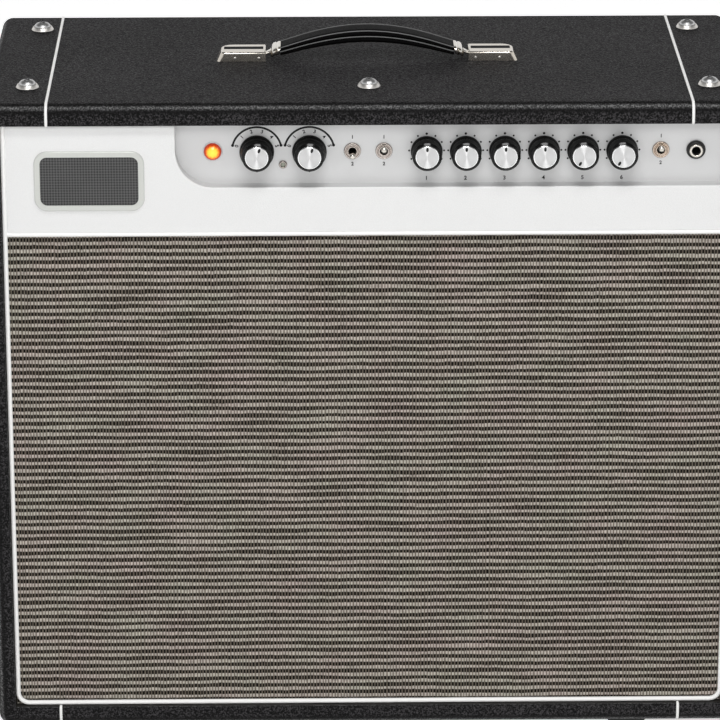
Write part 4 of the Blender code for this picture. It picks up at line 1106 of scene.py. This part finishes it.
def valveParts(name, node, base):
    low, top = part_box(node)
    radius, length, shoulder = (top.x - low.x) / 2, top.z - low.z, valve["shoulder"]
    where = Vector(((low.x + top.x) / 2, (low.y + top.y) / 2, top.z))
    tip = [(0, length), (radius * 0.16, length - 0.0005), (radius * 0.22, length - 0.0040)]
    if base:
        tip = [(0, length), (radius * 0.45, length - 0.0018)]
    wall = [(radius * 0.60, length - 0.0050), (radius * 0.90, length - shoulder * 0.65),
            (radius * 0.985, length - shoulder)]
    foot = [(radius * 0.985, base + 0.004), (radius * 0.80, base + 0.0015), (0, base + 0.0012)]
    bulb = envelope(tip + wall + foot, valve["wall"])
    put(f"{name}.glass", bulb, glass, where, toFloor, node=node)
    crown = [(r - 0.0011, z - 0.0014) for r, z in wall]
    flash = [(0.0001, length - 0.0062)] + crown + [(r - 0.0004, z - 0.0003) for r, z in crown[::-1]]
    put(f"{name}.getter", turned(flash, 40, ring=True), getter, where, toFloor)
    bottom, ceiling = base + 0.0085, length - shoulder - 0.004
    wide, thick, fin = radius * 0.66, radius * 0.46, radius * 0.82
    box = block((-wide, -thick, bottom), (wide, thick, ceiling), radius * 0.16, 3)
    wing = block((-fin, -0.0003, bottom), (fin, 0.0003, ceiling), 0.0001, 1)
    put(f"{name}.anode", gather(box, wing), anode, where, toFloor)
    disc = [(0, 0.0004), (radius * 0.86, 0.0004), (radius * 0.86, -0.0004), (0, -0.0004)]
    spacers = [moved(turned(disc, 36, 0.0002), (0, 0, z)) for z in (bottom - 0.0012, ceiling + 0.0012)]
    put(f"{name}.mica", gather(*spacers), mica, where, toFloor)
    pin = [(0, base + 0.0025), (0.00045, base + 0.0025), (0.00045, bottom - 0.0004), (0, bottom - 0.0004)]
    ring = list(arc((0, 0), radius * 0.4, 20, 380, 4))[:-1]
    stems = [moved(turned(pin, 10, 0.0001), (*spot, 0)) for spot in ring]
    put(f"{name}.stems", gather(*stems), nickel, where, toFloor)
    if base:
        sleeve = [(0, base + 0.0010), (radius * 0.90, base + 0.0010), (radius, base - 0.0008),
                  (radius, 0.0015), (radius * 0.92, 0.0), (0, 0.0)]
        put(f"{name}.base", turned(sleeve, 48, 0.0006), bakelite, where, toFloor)
    hole, collar = radius + valve["clear"], radius + valve["collar"]
    shroud = [(hole, 0.0016), (hole, 0.0100), (collar - 0.0004, 0.0100), (collar, 0.0090),
              (collar, 0.0017), (hole, 0.0016)]
    put(f"{name}.socket", turned(shroud, 48, 0.0005), phenolic, where, toFloor)


for i in range(1, 5):
    valveParts(f"preampValve{i}", f"preamp_valve_{i}", 0.0)
for i in range(1, 3):
    valveParts(f"powerValve{i}", f"power_valve_{i}", valve["base"])

winding = {"bell": 0.88, "inset": 0.12, "bellWide": 0.40, "boltX": 0.44, "boltIn": 0.06}
boltProfile = [(0, 0.0026), (0.0030, 0.0026), (0.0034, 0.0018), (0.0034, 0.0), (0, 0.0)]
for word in ("mains", "output"):
    low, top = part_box(f"{word}_transformer")
    wide, tall, x = top.x - low.x, top.z - low.z, (low.x + top.x) / 2
    stack, y = (top.y - low.y) / (2 * winding["bell"]), (low.y + top.y) / 2
    core = block((low.x, y - stack / 2, low.z), (top.x, y + stack / 2, top.z), 0.0006, 2)
    put(f"{word}Transformer.core", core, lamination, node=f"{word}_transformer")
    bells, bolts = [], []
    for sign, facing in ((-1, toFront), (1, toBack)):
        near, far = sorted((sign * (stack / 2 - 0.0012), sign * stack * winding["bell"]))
        reach, inset = wide * winding["bellWide"], tall * winding["inset"]
        bell = block((x - reach, y + near, low.z + inset), (x + reach, y + far, top.z - inset), 0)
        rims = [e for e in bell.edges if all(sign * (v.co.y - y) > stack / 2 for v in e.verts)]
        soften(bell, rims, stack * 0.2, 6)
        soften(bell, [e for e in bell.edges if e.is_manifold and e.calc_face_angle(0) > 1.0], 0.003)
        bells.append(bell)
        for sx in (-1, 1):
            for share in (winding["boltIn"], 1 - winding["boltIn"]):
                spot = (x + sx * wide * winding["boltX"], y + sign * stack / 2, low.z + tall * share)
                bolts.append(moved(turned(boltProfile, 6, 0.0003), spot, facing))
    put(f"{word}Transformer.bells", gather(*bells), blackPaint)
    put(f"{word}Transformer.bolts", gather(*bolts), zinc, crease=25)
print("valves and transformers in place")


# loudspeaker, its profiles as (radius, depth) from the cabinet's front

speaker = {"steps": 96, "windows": 8, "windowOut": (0.0570, 0.1250), "windowIn": (0.0380, 0.0910),
           "windowMid": 0.070, "windowDeep": 0.060, "windowCorner": 0.006, "flange": 0.0273}
flange, steps = speaker["flange"], speaker["steps"]
speakerAt = Vector((0, frontPlane, middle("speaker_basket").z))


def spun(line, soft=0.0, ring=False):
    return turned([(r, -depth) for r, depth in line], steps, soft, ring=ring)


basketLine = [
    (0.1520, flange), (0.1520, flange + 0.0040), (0.1420, flange + 0.0060), (0.1360, flange + 0.0200),
    (0.0880, 0.0800), (0.0800, 0.0885), (0.0400, 0.0900), (0.0300, 0.0900), (0.0300, 0.0880),
    (0.0780, 0.0862), (0.0855, 0.0786), (0.1335, flange + 0.0192), (0.1396, flange),
]
openings = []
for i in range(speaker["windows"]):
    opening = block((-0.5, -0.5, -0.5), (0.5, 0.5, 0.5), 0)
    for vert in opening.verts:
        wide, away = speaker["windowOut"] if vert.co.y > 0 else speaker["windowIn"]
        vert.co = (vert.co.x * wide, away, -speaker["windowMid"] + vert.co.z * speaker["windowDeep"])
    soften(opening, rising(opening, speaker["windowDeep"] / 2), speaker["windowCorner"], 4)
    turn = Matrix.Rotation(2 * pi * (i + 0.5) / speaker["windows"], 4, "Z")
    openings.append(moved(opening, turn=turn))
basket = carve(spun(basketLine, ring=True), gather(*openings))
put("speakerBasket", basket, blackPaint, speakerAt, toFront,
    node="speaker_basket", crease=30)

conePaper = vinylFinish(
    "conePaperFinish", (0.020, 0.018, 0.016), (0.060, 0.054, 0.048), 0.0012, 0.0002, 0.82, 0.15)
rolls = []
for i in range(25):
    out = 0.0121 * i / 24
    rolls.append((0.1261 + out, flange + 0.0030 - 0.0022 * abs(sin(2 * pi * (0.0006 + out) / 0.0135))))
rolls += [(r, depth + 0.0010) for r, depth in rolls[::-1]]
put("speakerSurround", spun(rolls, ring=True), conePaper, speakerAt, toFront,
    node="speaker_surround")
coneLine = [(0, 0.0600), (0.0100, 0.0608), (0.0190, 0.0628), (0.0330, 0.0722)]
for i in range(1, 31):
    share = i / 31
    depth = 0.0720 - (0.0690 - flange) * share ** 0.92 + (0.0004 if i % 6 == 3 else 0)
    coneLine.append((0.0330 + 0.0925 * share, depth))
coneLine += [(0.1255, flange + 0.0030), (0.1255, flange + 0.0042)]
for i in range(30, 0, -3):
    share = i / 31
    coneLine.append((0.0260 + 0.0995 * share, 0.0780 - (0.0738 - flange) * share ** 0.94))
coneLine += [
    (0.0258, 0.0785), (0.0258, 0.0985), (0.0246, 0.0985), (0.0246, 0.0740), (0.0180, 0.0640), (0, 0.0614),
]
put("speakerCone", spun(coneLine), conePaper, speakerAt, toFront, "cone", "speaker_cone")
magnetLine = [
    (0, 0.0870), (0.0230, 0.0870), (0.0230, 0.1060), (0.0278, 0.1060), (0.0278, 0.0903), (0.0600, 0.0903),
    (0.0600, 0.0970), (0.0760, 0.0970), (0.0760, 0.1200), (0.0620, 0.1200), (0.0600, 0.1280),
    (0.0120, 0.1280), (0.0100, 0.1240), (0, 0.1240),
]
put("speakerMagnet", spun(magnetLine, 0.0012), blackPaint, speakerAt, toFront,
    node="speaker_magnet")
plates = []
bore = 0.0560
for radius, near, far in ((0.0605, 0.0915, 0.0969), (0.0635, 0.1201, 0.1240)):
    plates.append(spun([(bore, near), (radius, near), (radius, far), (bore, far), (bore, near)], 0.0008))
put("speakerPlates", gather(*plates), zinc, speakerAt, toFront)
print("loudspeaker in place")


# finishes of the solids that stay

kept = {"chassis": zinc, "baffle_board": plywood, "mains_inlet": blackPlastic,
        "volume_b_plunger": nickel, "volume_a_plunger": nickel}
for node, finish in kept.items():
    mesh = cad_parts[node].data
    mesh.materials.clear()
    mesh.materials.append(finish)


# light and floor

light = {"ceiling": 0.12, "horizon": 1.0, "edge": (0.40, 0.60), "floorLift": 0.58, "floorReach": 30}
softboxes = {
    "keySoftbox": {"at": (0.08, -0.95, 2.55), "aim": (0, 0, 0.4), "size": (1.2, 0.32), "power": 20},
    "fillSoftbox": {"at": (0.0, -3.45, 2.75), "aim": (0, 0, 0.3), "size": (1.6, 1.4), "power": 49},
}

world = bpy.data.worlds.new("studioWorld")
scene.world = world
world.use_nodes = True
sky = Tree(world.node_tree)
ray = sky.add("ShaderNodeTexCoord", out="Generated")
lift = sky.add("ShaderNodeSeparateXYZ", {}, {0: ray}, "Z")
dome = sky.add("ShaderNodeMapRange", {}, {
    "Value": lift, "From Min": light["edge"][0], "From Max": light["edge"][1],
    "To Min": light["horizon"], "To Max": light["ceiling"],
})
sky.feed(world.node_tree.nodes["Background"].inputs["Color"], dome)

for name, box in softboxes.items():
    lampData = bpy.data.lights.new(name, "AREA")
    lampData.shape, lampData.energy = "RECTANGLE", box["power"]
    lampData.size, lampData.size_y = box["size"]
    item = linked(name, lampData)
    item.location = box["at"]
    item.rotation_euler = (Vector(box["aim"]) - Vector(box["at"])).to_track_quat("-Z", "Y").to_euler()

floorFinish = Finish("studioFloorFinish", rough=0.9, gloss=0.1, glowPower=1.0)
mottle = floorFinish.noise(6, 3)
words = ("Is Camera Ray", "Is Glossy Ray", "Is Transmission Ray")
rays = [floorFinish.add("ShaderNodeLightPath", out=word) for word in words]
seen = (rays[0] + rays[1] + rays[2]).kept()
floorFinish.set(
    colour=floorFinish.mix(mottle, grey(0.90), grey(0.94)),
    glow=floorFinish.mix(seen, grey(0.0), grey(light["floorLift"])),
)
ground = bmesh.new()
bmesh.ops.create_grid(ground, x_segments=2, y_segments=2, size=light["floorReach"])
mesh = meshFrom("studioFloor", ground)
mesh.materials.append(floorFinish.material)
studioFloor = linked("studioFloor", mesh)

scene.view_settings.view_transform = "Standard"
print("scene ready")
